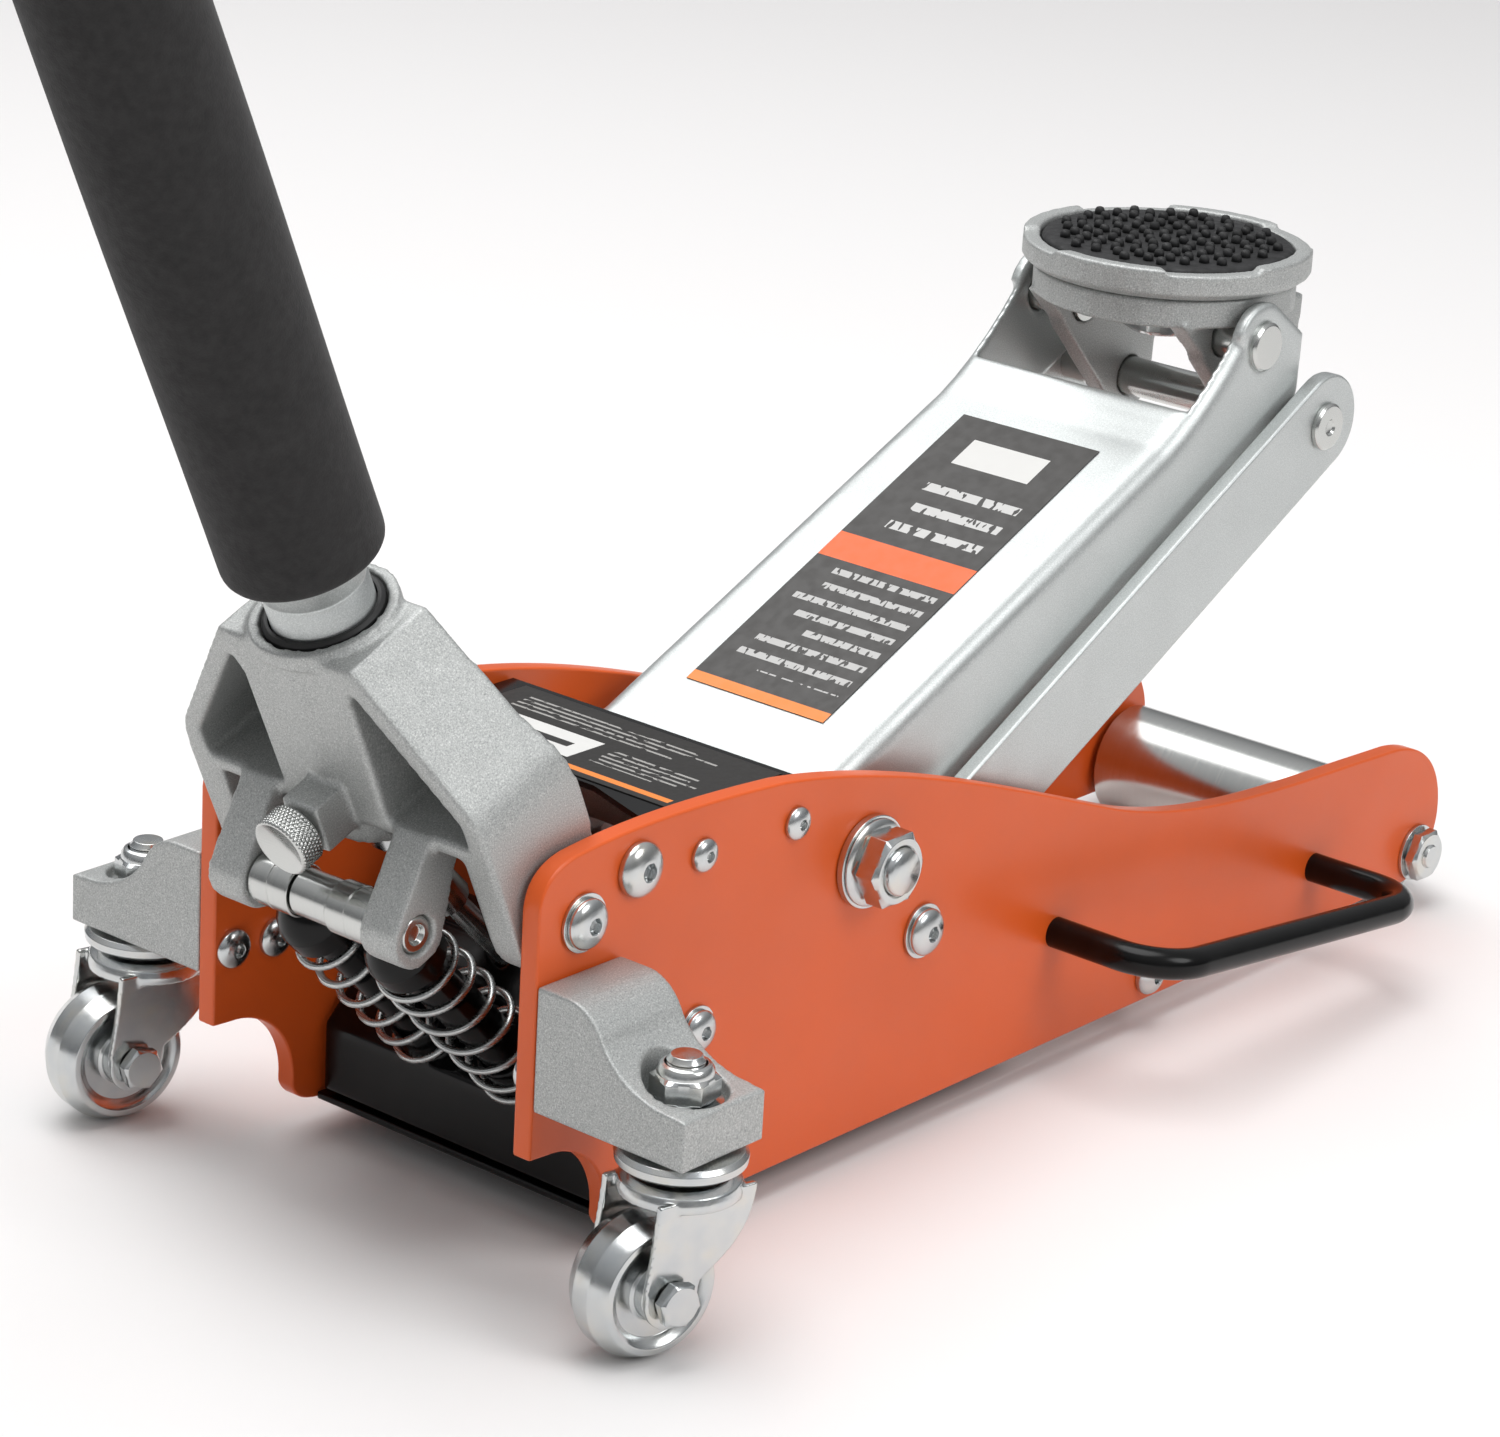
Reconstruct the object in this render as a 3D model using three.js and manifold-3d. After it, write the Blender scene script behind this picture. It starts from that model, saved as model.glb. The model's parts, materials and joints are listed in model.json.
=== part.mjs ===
// Hydraulic floor jack of the low, aluminium garage kind, in millimetres.
// +X points from the handle to the saddle, +Y to the left, +Z up; the wheels stand on z = 0.
// Until the last lines, x = 0 is the rear edge of the side plates.
import * as THREE from "three";
import { mergeVertices } from "three/addons/utils/BufferGeometryUtils.js";
import Module from "manifold-3d";

const wasm = await Module();
wasm.setup();

// ---- driving dimensions ----------------------------------------------------------------
const fit = 0.3; // gap between a pin and its hole, and between pieces that touch
const plate = { gap: 127, thick: 7, length: 496, bottom: 10.5, rear: 48.5, over: 23, nose: 65 };
const arch = { x: 8, z: 21, radius: 27 }; // room for a castor wheel in each plate's rear corner
const block = { length: 36, reach: 58, over: 13.8, pad: 15.7, tall: 39.7 }; // over: above the castor's crown
const castor = { x: 18, y: 42.5, radius: 22.5, width: 20, trail: 12, turned: -12 };
const fork = { race: 20, stem: 6, over: 6 }; // over: above the castor wheel
const roller = { radius: 21.5, back: 16, axle: 7, sideGap: 2 };
const arm = { x: 151.4, z: 104.2, length: 259.4, angle: 28.2, height: 29, wall: 5, slope: -3.7, ear: 15 };
const armBend = { radius: 8, window: 41, rise: 60 }; // folded edges; both lengths are back from the front pin
const armBolt = { radius: 8, nutAcross: 24, nutHeight: 14, washer: 15.5 };
const link = { dx: 30.6, dz: -32.1, thick: 6, width: 34, reach: 19, sideGap: 2, pin: 7 };
const ram = { lever: 28, lean: 4, radius: 11, pinRadius: 8, gap: 1.6, rear: 88, wall: 5 };
const bracket = { forward: 9.5, rise: 6, thick: 10, radius: 46, cheek: 7.5, boss: 13 };
const saddle = { radius: 50.5, height: 11, lip: 6.5, pad: 44, padHeight: 8, bolt: 8 };
const socket = { x: 18.7, over: 15, lean: 65.9, bolt: 8, rear: 19, cheek: 12, top: 93, web: 31 };
const pump = { back: 34, up: 10.5, pin: 6, roller: 8.5, collar: 7.5, spread: 18.5, slope: 45, gap: 2.6 };
const lugs = { radius: 10.5, gap: 24.5, thick: 14.5, rise: 5 }; // ears that hold the roller pin
const spring = { radius: 13.5, wire: 2.5, turns: 6.5, seat: 98 }; // seat: how far from the roller pin
const plunger = { cap: 12, rod: 7.5, dome: 8, skirt: 8, rodEnd: 10, stroke: 24 };
const tube = { radius: 16, wall: 2, start: 38, split: 560, lap: 60, end: 1012 };
const foam = { wall: 9, start: 115, end: 505 };
const grip = { wall: 4, length: 130 };
const knob = { radius: 10, length: 9, up: 37, bossDepth: 13, bossWide: 7, bossTall: 8, stud: 4, gap: 2 };
const collar = { wall: 7, height: 2, ring: 3, seat: 1.5 }; // round the handle, with its seal ring
const cover = { front: 130, rear: 62, notch: 76, z: 132, thick: 2, flange: 14 };
const pumpCase = { rear: 45, front: 110, bottom: 15, under: 59.5 }; // under: below the handle's pivot
const carry = { radius: 5.5, rearX: 256, rearZ: 51, frontX: 412, frontZ: 33, reach: 45, bend: 20 };
const stopRod = { x: 42.1, over: 10.6, radius: 4.5 };
const frontRod = { x: 312, z: 20, radius: 5 };
const pumpBolt = { x: 72, up: 10, radius: 5 };
const button = { radius: 9.5, height: 6 }; // button head on its washer

// ---- sizes that follow ------------------------------------------------------------------
const inner = plate.gap / 2; // inner face of a side plate
const outer = inner + plate.thick;
const linkOuter = inner - 5.5;
const linkInner = linkOuter - link.thick;
const armHalf = linkInner - link.sideGap;
const bracketHalf = armHalf - arm.wall - 11.5;
const crown = 2 * castor.radius + fork.over; // underside of a castor fork's top plate
const blockBottom = crown + block.over;
const blockPad = blockBottom + block.pad;
const blockTop = blockBottom + block.tall;
const socketZ = blockTop + socket.over; // the handle's pivot is above the blocks
const stopRodZ = socketZ + stopRod.over;
const plateTop = socketZ + plate.over;
const caseTop = socketZ - pumpCase.under;
const pumpBoltZ = caseTop + pumpBolt.up;
const rad = THREE.MathUtils.degToRad;
const sides = [["left", 1], ["right", -1]];

// ---- finishes ---------------------------------------------------------------------------
const finish = (color, roughness, metalness) =>
  new THREE.MeshStandardMaterial({ color, roughness, metalness });
const paint = finish("#dc6c40", 0.35, 0);
const castAlloy = finish("#bfc0be", 0.55, 0.7);
const silver = finish("#c8cccb", 0.4, 0.6);
const steel = finish("#c9c9c6", 0.2, 1);
const black = finish("#141414", 0.25, 0);
const rubber = finish("#343232", 0.9, 0);
const label = finish("#5b5a58", 0.6, 0);

// ---- solids -----------------------------------------------------------------------------
function solid(geometry) {
  const bare = geometry.index ? geometry.toNonIndexed() : geometry;
  bare.deleteAttribute("normal");
  bare.deleteAttribute("uv");
  const merged = mergeVertices(bare, 1e-4);
  return new wasm.Manifold(new wasm.Mesh({
    numProp: 3,
    vertProperties: merged.attributes.position.array,
    triVerts: new Uint32Array(merged.index.array),
  }));
}

function geometryOf(shape) {
  const { vertProperties, triVerts } = shape.getMesh();
  const geometry = new THREE.BufferGeometry();
  geometry.setAttribute("position", new THREE.BufferAttribute(vertProperties, 3));
  geometry.setIndex(new THREE.BufferAttribute(triVerts, 1));
  const flat = geometry.toNonIndexed();
  flat.computeVertexNormals();
  return flat;
}

const shapeOf = (points) => new THREE.Shape(points.map(([a, b]) => new THREE.Vector2(a, b)));

// A shape drawn in (x, z), as thick as from y0 to y1.
function slab(shape, y0, y1, curveSegments = 8) {
  const geometry = new THREE.ExtrudeGeometry(shape, { depth: y1 - y0, bevelEnabled: false, curveSegments });
  return solid(geometry.rotateX(Math.PI / 2).translate(0, y1, 0));
}

// A shape drawn in (y, z), as long as from x0 to x1.
function bar(shape, x0, x1, curveSegments = 8) {
  const geometry = new THREE.ExtrudeGeometry(shape, { depth: x1 - x0, bevelEnabled: false, curveSegments });
  return solid(geometry.rotateX(Math.PI / 2).rotateZ(Math.PI / 2).translate(x0, 0, 0));
}

const box = (x0, x1, y0, y1, z0, z1) =>
  solid(new THREE.BoxGeometry(x1 - x0, y1 - y0, z1 - z0)
    .translate((x0 + x1) / 2, (y0 + y1) / 2, (z0 + z1) / 2));

// Cylinders along Y, Z and X.
const rodY = (radius, y0, y1, x, z, faces = 16) =>
  solid(new THREE.CylinderGeometry(radius, radius, y1 - y0, faces).translate(x, (y0 + y1) / 2, z));
const rodZ = (radius, z0, z1, x = 0, y = 0, faces = 16) =>
  solid(new THREE.CylinderGeometry(radius, radius, z1 - z0, faces)
    .rotateX(Math.PI / 2).translate(x, y, (z0 + z1) / 2));
const rodX = (radius, x0, x1, y, z, faces = 16) =>
  solid(new THREE.CylinderGeometry(radius, radius, x1 - x0, faces)
    .rotateZ(Math.PI / 2).translate((x0 + x1) / 2, y, z));

// A turned piece about Z, from a profile of [radius, z] listed upwards from the axis to the axis.
const turned = (profile, faces = 24) =>
  solid(new THREE.LatheGeometry(profile.map(([r, z]) => new THREE.Vector2(r, z)), faces)
    .rotateX(Math.PI / 2));

// A tube about Z that is open right through.
const pipe = (radius, bore, z0, z1, faces = 24) =>
  turned([[bore, z0], [radius, z0], [radius, z1], [bore, z1], [bore, z0]], faces);

// A hexagon head or nut along Y, by its width across flats.
const hexY = (across, y0, y1, x, z) => rodY(across / Math.sqrt(3), y0, y1, x, z, 6);

// A button head with its washer, on the outside of a plate at y = side * outer.
function buttonHead(side, x, z, radius = button.radius, height = button.height) {
  const head = turned([
    [0, 0], [radius, 0], [radius, height * 0.3], [radius * 0.85, height * 0.35],
    [radius * 0.7, height * 0.75], [radius * 0.4, height], [0, height],
  ], 14);
  return head.rotate([side > 0 ? -90 : 90, 0, 0]).translate([x, side * (outer + fit), z]);
}

const floorJack = new THREE.Group();
floorJack.name = "floor_jack";

function add(name, shape, material, parent = floorJack) {
  const piece = new THREE.Mesh(geometryOf(shape), material);
  piece.name = name;
  parent.add(piece);
  return piece;
}

// ---- chassis ----------------------------------------------------------------------------
const rollerX = plate.length - roller.back;

// Side plate: a flat rear deck, a long S-shaped fall to the nose, and the castor arch.
function plateOutline() {
  const shape = new THREE.Shape();
  const { rear, bottom, length, nose } = plate;
  const top = plateTop;
  shape.moveTo(0, rear);
  shape.lineTo(0, top - 16);
  shape.quadraticCurveTo(1, top - 4, 15, top - 1.5);
  shape.quadraticCurveTo(50, top + 3, length * 0.22, top - 2);
  shape.bezierCurveTo(length * 0.34, top - 10, length * 0.46, top - 34, length * 0.57, top - 54);
  shape.bezierCurveTo(length * 0.66, top - 70, length * 0.75, nose + 5, length * 0.87, nose + 2.5);
  shape.lineTo(length * 0.93, nose + 1);
  shape.quadraticCurveTo(length - 8, nose - 2, length - 2, nose - 22);
  shape.quadraticCurveTo(length + 2, nose - 38, length - 8, bottom + 8);
  shape.quadraticCurveTo(length - 13, bottom, length - 22, bottom);
  const footX = arch.x + arch.radius;
  shape.lineTo(footX + 14, bottom);
  shape.quadraticCurveTo(footX + 2, bottom + 0.5, footX, arch.z - 3);
  const end = Math.asin((rear - arch.z) / (arch.radius + 0.5));
  shape.absarc(arch.x, arch.z, arch.radius, -0.05, end, false);
  return shape;
}

for (const [name, side] of sides) {
  const y = [side * inner, side * outer].sort((a, b) => a - b);
  const hole = (radius, x, z) => rodY(radius + fit, y[0] - 1, y[1] + 1, x, z, 14);
  let shape = slab(plateOutline(), y[0], y[1], 7);
  shape = shape
    .subtract(hole(socket.bolt, socket.x, socketZ))
    .subtract(hole(stopRod.radius, stopRod.x, stopRodZ))
    .subtract(hole(armBolt.radius, arm.x, arm.z))
    .subtract(hole(link.pin, arm.x + link.dx, arm.z + link.dz))
    .subtract(hole(pumpBolt.radius, pumpBolt.x, pumpBoltZ))
    .subtract(hole(frontRod.radius, frontRod.x, frontRod.z))
    .subtract(hole(roller.axle, rollerX, roller.radius))
    .subtract(hole(carry.radius, carry.rearX, carry.rearZ))
    .subtract(hole(carry.radius, carry.frontX, carry.frontZ));
  add(`side_plate_${name}`, shape, paint);
}

// Outrigger block: bolted to the plate's rear corner, it carries a castor in a counterbored pad.
function outrigger(side) {
  const shape = new THREE.Shape();
  const { reach } = block;
  shape.moveTo(0, blockBottom);
  shape.lineTo(reach, blockBottom);
  shape.lineTo(reach, blockPad);
  shape.lineTo(reach - 10, blockPad + 0.6);
  shape.quadraticCurveTo(reach * 0.58, blockPad + 2.5, reach * 0.45, blockTop - 11);
  shape.quadraticCurveTo(reach * 0.37, blockTop - 0.5, reach * 0.2, blockTop);
  shape.lineTo(0, blockTop);
  let body = bar(shape, 0, block.length, 6);
  body = body
    .subtract(rodZ(fork.stem + fit, blockBottom - 1, blockTop, castor.x, castor.y))
    .subtract(rodZ(13, blockPad - 4, blockTop, castor.x, castor.y, 20));
  if (side < 0) body = body.mirror([0, 1, 0]);
  return body.translate([0, side * (outer + fit), 0]);
}
for (const [name, side] of sides) add(`caster_block_${name}`, outrigger(side), castAlloy);

// Castor: stem and upper race are fixed, the fork swivels below them and carries the wheel.
function castorLeg(y0, y1) {
  const { radius, trail } = castor;
  const shape = new THREE.Shape();
  shape.moveTo(-17, crown);
  shape.lineTo(-trail - 9, radius + 6);
  shape.absarc(-trail, radius, 9, Math.PI * 0.85, Math.PI * 1.9, false);
  shape.lineTo(16, crown);
  return slab(shape, y0, y1, 8);
}
for (const [name, side] of sides) {
  const y = side * (outer + fit + castor.y);
  const stem = turned([
    [0, crown + 5], [12, crown + 5], [fork.race - 1, crown + 6.5], [fork.race, crown + 9],
    [fork.race - 1.5, crown + 11.5], [14, blockBottom - fit], [fork.stem, blockBottom - fit],
    [fork.stem, blockPad + 14.5], [0, blockPad + 14.5],
  ], 20).translate([castor.x, y, 0]);
  add(`caster_stem_${name}`, stem, steel);
  const nut = rodZ(19 / Math.sqrt(3), blockPad - 4 + fit, blockPad + 6, 0, 0, 6)
    .subtract(rodZ(fork.stem + fit, blockPad - 10, blockPad + 10)).translate([castor.x, y, 0]);
  add(`caster_nut_${name}`, nut, steel);

  const swivel = new THREE.Group();
  swivel.position.set(castor.x, y, 0);
  swivel.rotation.z = rad(castor.turned);
  floorJack.add(swivel);
  const leg = castor.width / 2 + 2.2;
  const yoke = rodZ(fork.race - 1, crown, crown + 4.5, 0, 0, 20)
    .add(castorLeg(-leg - 2.4, -leg)).add(castorLeg(leg, leg + 2.4))
    .subtract(rodY(4 + fit, -20, 20, -castor.trail, castor.radius, 12));
  add(`caster_fork_${name}`, yoke, steel, swivel);
  const axle = rodY(4, -leg - 3, leg + 3, -castor.trail, castor.radius, 12)
    .add(hexY(13, -leg - 7.5, -leg - 2.4 - fit, -castor.trail, castor.radius))
    .add(hexY(13, leg + 2.4 + fit, leg + 8, -castor.trail, castor.radius));
  add(`wheel_axle_${name}`, axle, steel, swivel);
  const r = castor.radius;
  const w = castor.width / 2;
  const wheel = turned([
    [4 + fit, -w - 1.5], [8, -w - 1.5], [8, -w + 2], [r - 7, -w + 2], [r - 5, -w], [r - 1.5, -w + 2],
    [r, -2], [r, 2], [r - 1.5, w - 2], [r - 5, w], [r - 7, w - 2], [8, w - 2], [8, w + 1.5],
    [4 + fit, w + 1.5], [4 + fit, -w - 1.5],
  ], 16).rotate([90, 0, 0]).translate([-castor.trail, 0, r]);
  add(`caster_wheel_${name}`, wheel, steel, swivel);
}

// Front roller on its axle between the plates' noses.
const rollerHalf = inner - roller.sideGap;
add("front_roller",
  rodY(roller.radius, -rollerHalf, rollerHalf, rollerX, roller.radius, 28)
    .subtract(rodY(roller.axle + fit, -inner, inner, rollerX, roller.radius, 14)), steel);
add("front_axle",
  rodY(roller.axle, -outer - 8, outer + 8, rollerX, roller.radius, 14)
    .add(hexY(19, outer + fit, outer + 7, rollerX, roller.radius))
    .add(hexY(19, -outer - 7, -outer - fit, rollerX, roller.radius)), steel);

// Rods and bolts that hold the plates apart.
for (const [name, rod, z, size] of [
  ["stop_rod", stopRod, stopRodZ, 9], ["front_tie_rod", frontRod, frontRod.z, 7],
]) {
  add(name, rodY(rod.radius, -outer - 1, outer + 1, rod.x, z, 12)
    .add(buttonHead(1, rod.x, z, size)).add(buttonHead(-1, rod.x, z, size)), steel);
}
for (const [name, side] of sides) {
  const span = (a, b) => [side * a, side * b].sort((p, q) => p - q);
  const into = span(inner - socket.cheek, outer + 1);
  add(`socket_bolt_${name}`, rodY(socket.bolt, into[0], into[1], socket.x, socketZ, 16)
    .add(buttonHead(side, socket.x, socketZ)), steel);
  const e = { x: arm.x + link.dx, z: arm.z + link.dz };
  const through = span(linkInner - 1, outer + 1);
  add(`link_bolt_${name}`, rodY(link.pin, through[0], through[1], e.x, e.z, 16)
    .add(buttonHead(side, e.x, e.z)), steel);
  const hold = span(inner - 10, outer + 1);
  add(`pump_bolt_${name}`, rodY(pumpBolt.radius, hold[0], hold[1], pumpBolt.x, pumpBoltZ, 12)
    .add(buttonHead(side, pumpBolt.x, pumpBoltZ, 8)), steel);
}
add("arm_bolt", rodY(armBolt.radius, -outer - armBolt.nutHeight - 2, outer + 1, arm.x, arm.z, 20)
  .add(rodY(armBolt.washer, outer + fit, outer + 3, arm.x, arm.z, 20))
  .add(hexY(armBolt.nutAcross, outer + 3, outer + 11, arm.x, arm.z)), steel);
add("arm_nut", rodY(armBolt.washer, -outer - 3.5, -outer - fit, arm.x, arm.z, 20)
  .add(hexY(armBolt.nutAcross, -outer - armBolt.nutHeight, -outer - 3.5, arm.x, arm.z))
  .subtract(rodY(armBolt.radius + fit, -200, 0, arm.x, arm.z, 20)), steel);

// Carry handle: a bent rod through two holes in the plate, one on each side.
for (const [name, side] of sides) {
  const path = new THREE.CurvePath();
  const at = (t, y) => new THREE.Vector3(
    carry.rearX + (carry.frontX - carry.rearX) * t, side * y,
    carry.rearZ + (carry.frontZ - carry.rearZ) * t);
  const run = Math.hypot(carry.frontX - carry.rearX, carry.frontZ - carry.rearZ);
  const bend = carry.bend / run;
  const far = outer + carry.reach;
  path.add(new THREE.LineCurve3(at(0, inner + 0.5), at(0, far - carry.bend)));
  path.add(new THREE.QuadraticBezierCurve3(at(0, far - carry.bend), at(0, far), at(bend, far)));
  path.add(new THREE.LineCurve3(at(bend, far), at(1 - bend, far)));
  path.add(new THREE.QuadraticBezierCurve3(at(1 - bend, far), at(1, far), at(1, far - carry.bend)));
  path.add(new THREE.LineCurve3(at(1, far - carry.bend), at(1, inner + 0.5)));
  const points = path.curves.flatMap((c, i) => c.getPoints(i % 2 ? 6 : 1)).filter((p, i, all) =>
    i === 0 || p.distanceTo(all[i - 1]) > 0.01);
  const route = new THREE.CatmullRomCurve3(points, false, "catmullrom", 0);
  const section = new THREE.Shape().absarc(0, 0, carry.radius, 0, Math.PI * 2, false);
  const rod = new THREE.ExtrudeGeometry(section, { extrudePath: route, steps: 28, curveSegments: 4 });
  add(`carry_handle_${name}`, solid(rod), black);
}

// Base pan closes the chassis below the pump; the cover plate closes it above.
add("base_pan", box(pumpCase.rear, 250, -inner + 1, inner - 1, plate.bottom + 0.5, plate.bottom + 3), black);
const coverHalf = inner - 1;
const coverShape = new THREE.ExtrudeGeometry(shapeOf([
  [cover.rear, -coverHalf], [cover.front, -coverHalf], [cover.front, coverHalf],
  [cover.rear, coverHalf], [cover.notch, 22], [cover.notch, -22],
]), { depth: cover.thick, bevelEnabled: false }).translate(0, 0, cover.z);
let coverPlate = solid(coverShape);
for (const side of [-1, 1]) {
  const y = [side * coverHalf, side * (coverHalf - cover.thick)].sort((a, b) => a - b);
  coverPlate = coverPlate.add(
    box(cover.rear, cover.front, y[0], y[1], cover.z - cover.flange, cover.z + cover.thick));
}
add("cover_plate", coverPlate, label);

// ---- hydraulic unit ---------------------------------------------------------------------
const lean = rad(socket.lean);
const back = [-Math.cos(lean), Math.sin(lean)]; // along the handle, in x and z
const front = [Math.sin(lean), Math.cos(lean)]; // square to it, towards the saddle
const pinX = socket.x - pump.back * front[0] + pump.up * back[0];
const pinZ = socketZ - pump.back * front[1] + pump.up * back[1];
const slope = rad(pump.slope);
const down = [Math.cos(slope), -Math.sin(slope)]; // along the plungers
const seatX = pinX + spring.seat * down[0];
const seatZ = pinZ + spring.seat * down[1];

// What is turned about Z from z = 0 up, laid along a plunger's axis from the pump roller down.
const alongPlunger = (shape, side) =>
  shape.rotate([0, 90 + pump.slope, 0]).translate([pinX, side * pump.spread, pinZ]);

const ramAngle = rad(ram.lean);
const leverX = arm.x + ram.lever * Math.sin(ramAngle);
const leverZ = arm.z - ram.lever * Math.cos(ramAngle);
const ramFace = leverX - ram.pinRadius - ram.gap;
const cylinderFront = ramFace - ram.lever * rad(38.4) - 4;
const cylinderRear = ram.rear - ram.lever * rad(38.4) - 6;
const half = inner - 3.5;
const bodyShape = shapeOf([
  [pumpCase.rear, pumpCase.bottom], [pumpCase.front, pumpCase.bottom], [pumpCase.front, caseTop],
  [seatX + caseTop - seatZ, caseTop], [pumpCase.rear, seatZ + pumpCase.rear - seatX],
]);
let pumpBody = slab(bodyShape, -half, half)
  .add(box(cylinderRear + 6, pumpCase.front, -30, 30, caseTop - 1, caseTop + 6))
  .add(rodX(ram.radius + ram.wall, cylinderRear, cylinderFront, 0, leverZ, 24))
  .add(box(60, 84, -half, half, caseTop - 1, pumpBoltZ + 10))
  .subtract(rodX(ram.radius + fit, cylinderRear + 5, cylinderFront + 1, 0, leverZ, 24));
for (const side of [-1, 1]) {
  const guide = rodZ(spring.radius - spring.wire - 1.2, spring.seat - 13, spring.seat + 6);
  const boreEnd = spring.seat + plunger.rodEnd + plunger.stroke;
  const bore = rodZ(plunger.rod + fit, spring.seat - 20, boreEnd);
  pumpBody = pumpBody.add(alongPlunger(guide, side)).subtract(alongPlunger(bore, side));
  const y = [side * (inner - 11), side * (inner + 1)].sort((a, b) => a - b);
  pumpBody = pumpBody.subtract(
    rodY(pumpBolt.radius + fit, y[0], y[1], pumpBolt.x, pumpBoltZ, 12));
}
const valve = { radius: 4, start: 14, into: 1.5 };
const valveAxis = (shape) =>
  shape.rotate([0, 90 + pump.slope, 0]).translate([socket.x, 0, socketZ]);
const valveEnd = (cylinderRear + valve.into - socket.x) / down[0];
pumpBody = pumpBody.subtract(valveAxis(rodZ(valve.radius + fit, 40, valveEnd + 1, 0, 0, 12)));
add("pump_body", pumpBody, black);
add("release_valve", valveAxis(rodZ(valve.radius, valve.start + 9, valveEnd, 0, 0, 12)
  .add(rodZ(7, valve.start, valve.start + 12, 0, 0, 12))), steel);

add("ram", rodX(ram.radius, ram.rear, ramFace, 0, leverZ, 24), steel);
for (const [name, side] of sides) {
  const top = pump.roller + pump.gap;
  const capEnd = top + plunger.dome + plunger.skirt;
  const piece = turned([
    [0, top], [4, top], [plunger.cap * 0.75, top + plunger.dome * 0.35],
    [plunger.cap, top + plunger.dome], [plunger.cap, capEnd - fit],
    [plunger.rod, capEnd - fit], [plunger.rod, spring.seat + plunger.rodEnd],
    [0, spring.seat + plunger.rodEnd],
  ]);
  add(`pump_plunger_${name}`, alongPlunger(piece, side), black);

  // The coil spring rests between the plunger's cap and the pump body.
  const z0 = capEnd + spring.wire / 2 + fit;
  const z1 = spring.seat - spring.wire / 2 - fit;
  class Coil extends THREE.Curve {
    getPoint(t, target = new THREE.Vector3()) {
      const turn = 2 * Math.PI * spring.turns * t;
      const r = spring.radius - spring.wire / 2;
      return target.set(r * Math.cos(turn), r * Math.sin(turn), z0 + (z1 - z0) * t);
    }
  }
  const wire = new THREE.Shape().absarc(0, 0, spring.wire / 2, 0, 2 * Math.PI, false);
  const coil = new THREE.ExtrudeGeometry(wire, {
    extrudePath: new Coil(), steps: Math.round(spring.turns * 9), curveSegments: 3,
  });
  add(`pump_spring_${name}`, alongPlunger(solid(coil), side), steel);
}

// ---- handle socket, drawn about its pivot: x towards the saddle, z along the handle ------
const handleAxis = new THREE.Group();
handleAxis.position.set(socket.x, 0, socketZ);
handleAxis.rotation.y = -(Math.PI / 2 - lean);
floorJack.add(handleAxis);

const cheekOuter = inner - 1.5;
const cheekInner = cheekOuter - socket.cheek;
const lugOuter = lugs.gap + lugs.thick;
const ringRadius = tube.radius + collar.ring;
function socketCasting() {
  const { top, web, rear } = socket;
  const face = new THREE.Shape();
  face.moveTo(-cheekOuter, -24);
  face.lineTo(cheekOuter, -24);
  face.lineTo(cheekOuter, 38);
  face.quadraticCurveTo(cheekOuter, 46, cheekOuter - 5, 52);
  face.lineTo(tube.radius + 11, top);
  face.lineTo(-tube.radius - 11, top);
  face.lineTo(-cheekOuter + 5, 52);
  face.quadraticCurveTo(-cheekOuter, 46, -cheekOuter, 38);
  const profile = new THREE.Shape();
  profile.moveTo(-rear, top);
  profile.lineTo(-rear, 0);
  profile.absarc(0, 0, rear, Math.PI, Math.PI * 2, false);
  profile.lineTo(rear, 8);
  profile.quadraticCurveTo(rear + 6, 26, 17, 58);
  profile.lineTo(15, top);
  let casting = bar(face, -30, 30, 6).intersect(slab(profile, -inner, inner, 8));
  casting = casting.subtract(box(-40, 40, -cheekInner, cheekInner, -30, web));
  for (const side of [-1, 1]) {
    const pocket = bar(shapeOf([
      [tube.radius + 5.5, web + 5], [cheekOuter - 8, web + 5], [cheekOuter - 8, 45],
      [tube.radius + 9, top - 9], [tube.radius + 6, top - 14],
    ]), -40, 12);
    casting = casting.subtract(side > 0 ? pocket : pocket.mirror([0, 1, 0]));
  }
  const { up, bossDepth, bossWide, bossTall } = knob;
  casting = casting.add(rodZ(tube.radius + 4, web - 9, top, 0, 0, 24))
    .add(rodZ(tube.radius + collar.wall, top - 4, top + collar.height, 0, 0, 28))
    .add(box(-rear - bossDepth, -10, -bossWide, bossWide, up - bossTall, up + bossTall));

  // Lugs that hold the roller pin over the plungers.
  const lug = new THREE.Shape();
  lug.moveTo(-6, web);
  lug.lineTo(-rear, web + lugs.rise);
  lug.absarc(-pump.back, pump.up, lugs.radius, Math.PI * 0.8, Math.PI * 1.75, false);
  for (const side of [-1, 1]) {
    const y = [side * lugs.gap, side * lugOuter].sort((a, b) => a - b);
    casting = casting.add(slab(lug, y[0], y[1], 6));
  }
  return casting
    .subtract(rodZ(tube.radius + fit, -40, top + 5, 0, 0, 24))
    .subtract(rodZ(ringRadius + fit, top - collar.seat, top + 5, 0, 0, 24))
    .subtract(rodY(socket.bolt + fit, -inner, inner, 0, 0, 16))
    .subtract(rodY(pump.pin + fit, -inner, inner, -pump.back, pump.up, 14))
    .subtract(rodX(knob.stud + fit, -rear - 20, -10, 0, up, 12));
}
add("handle_socket", socketCasting(), castAlloy, handleAxis);

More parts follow.
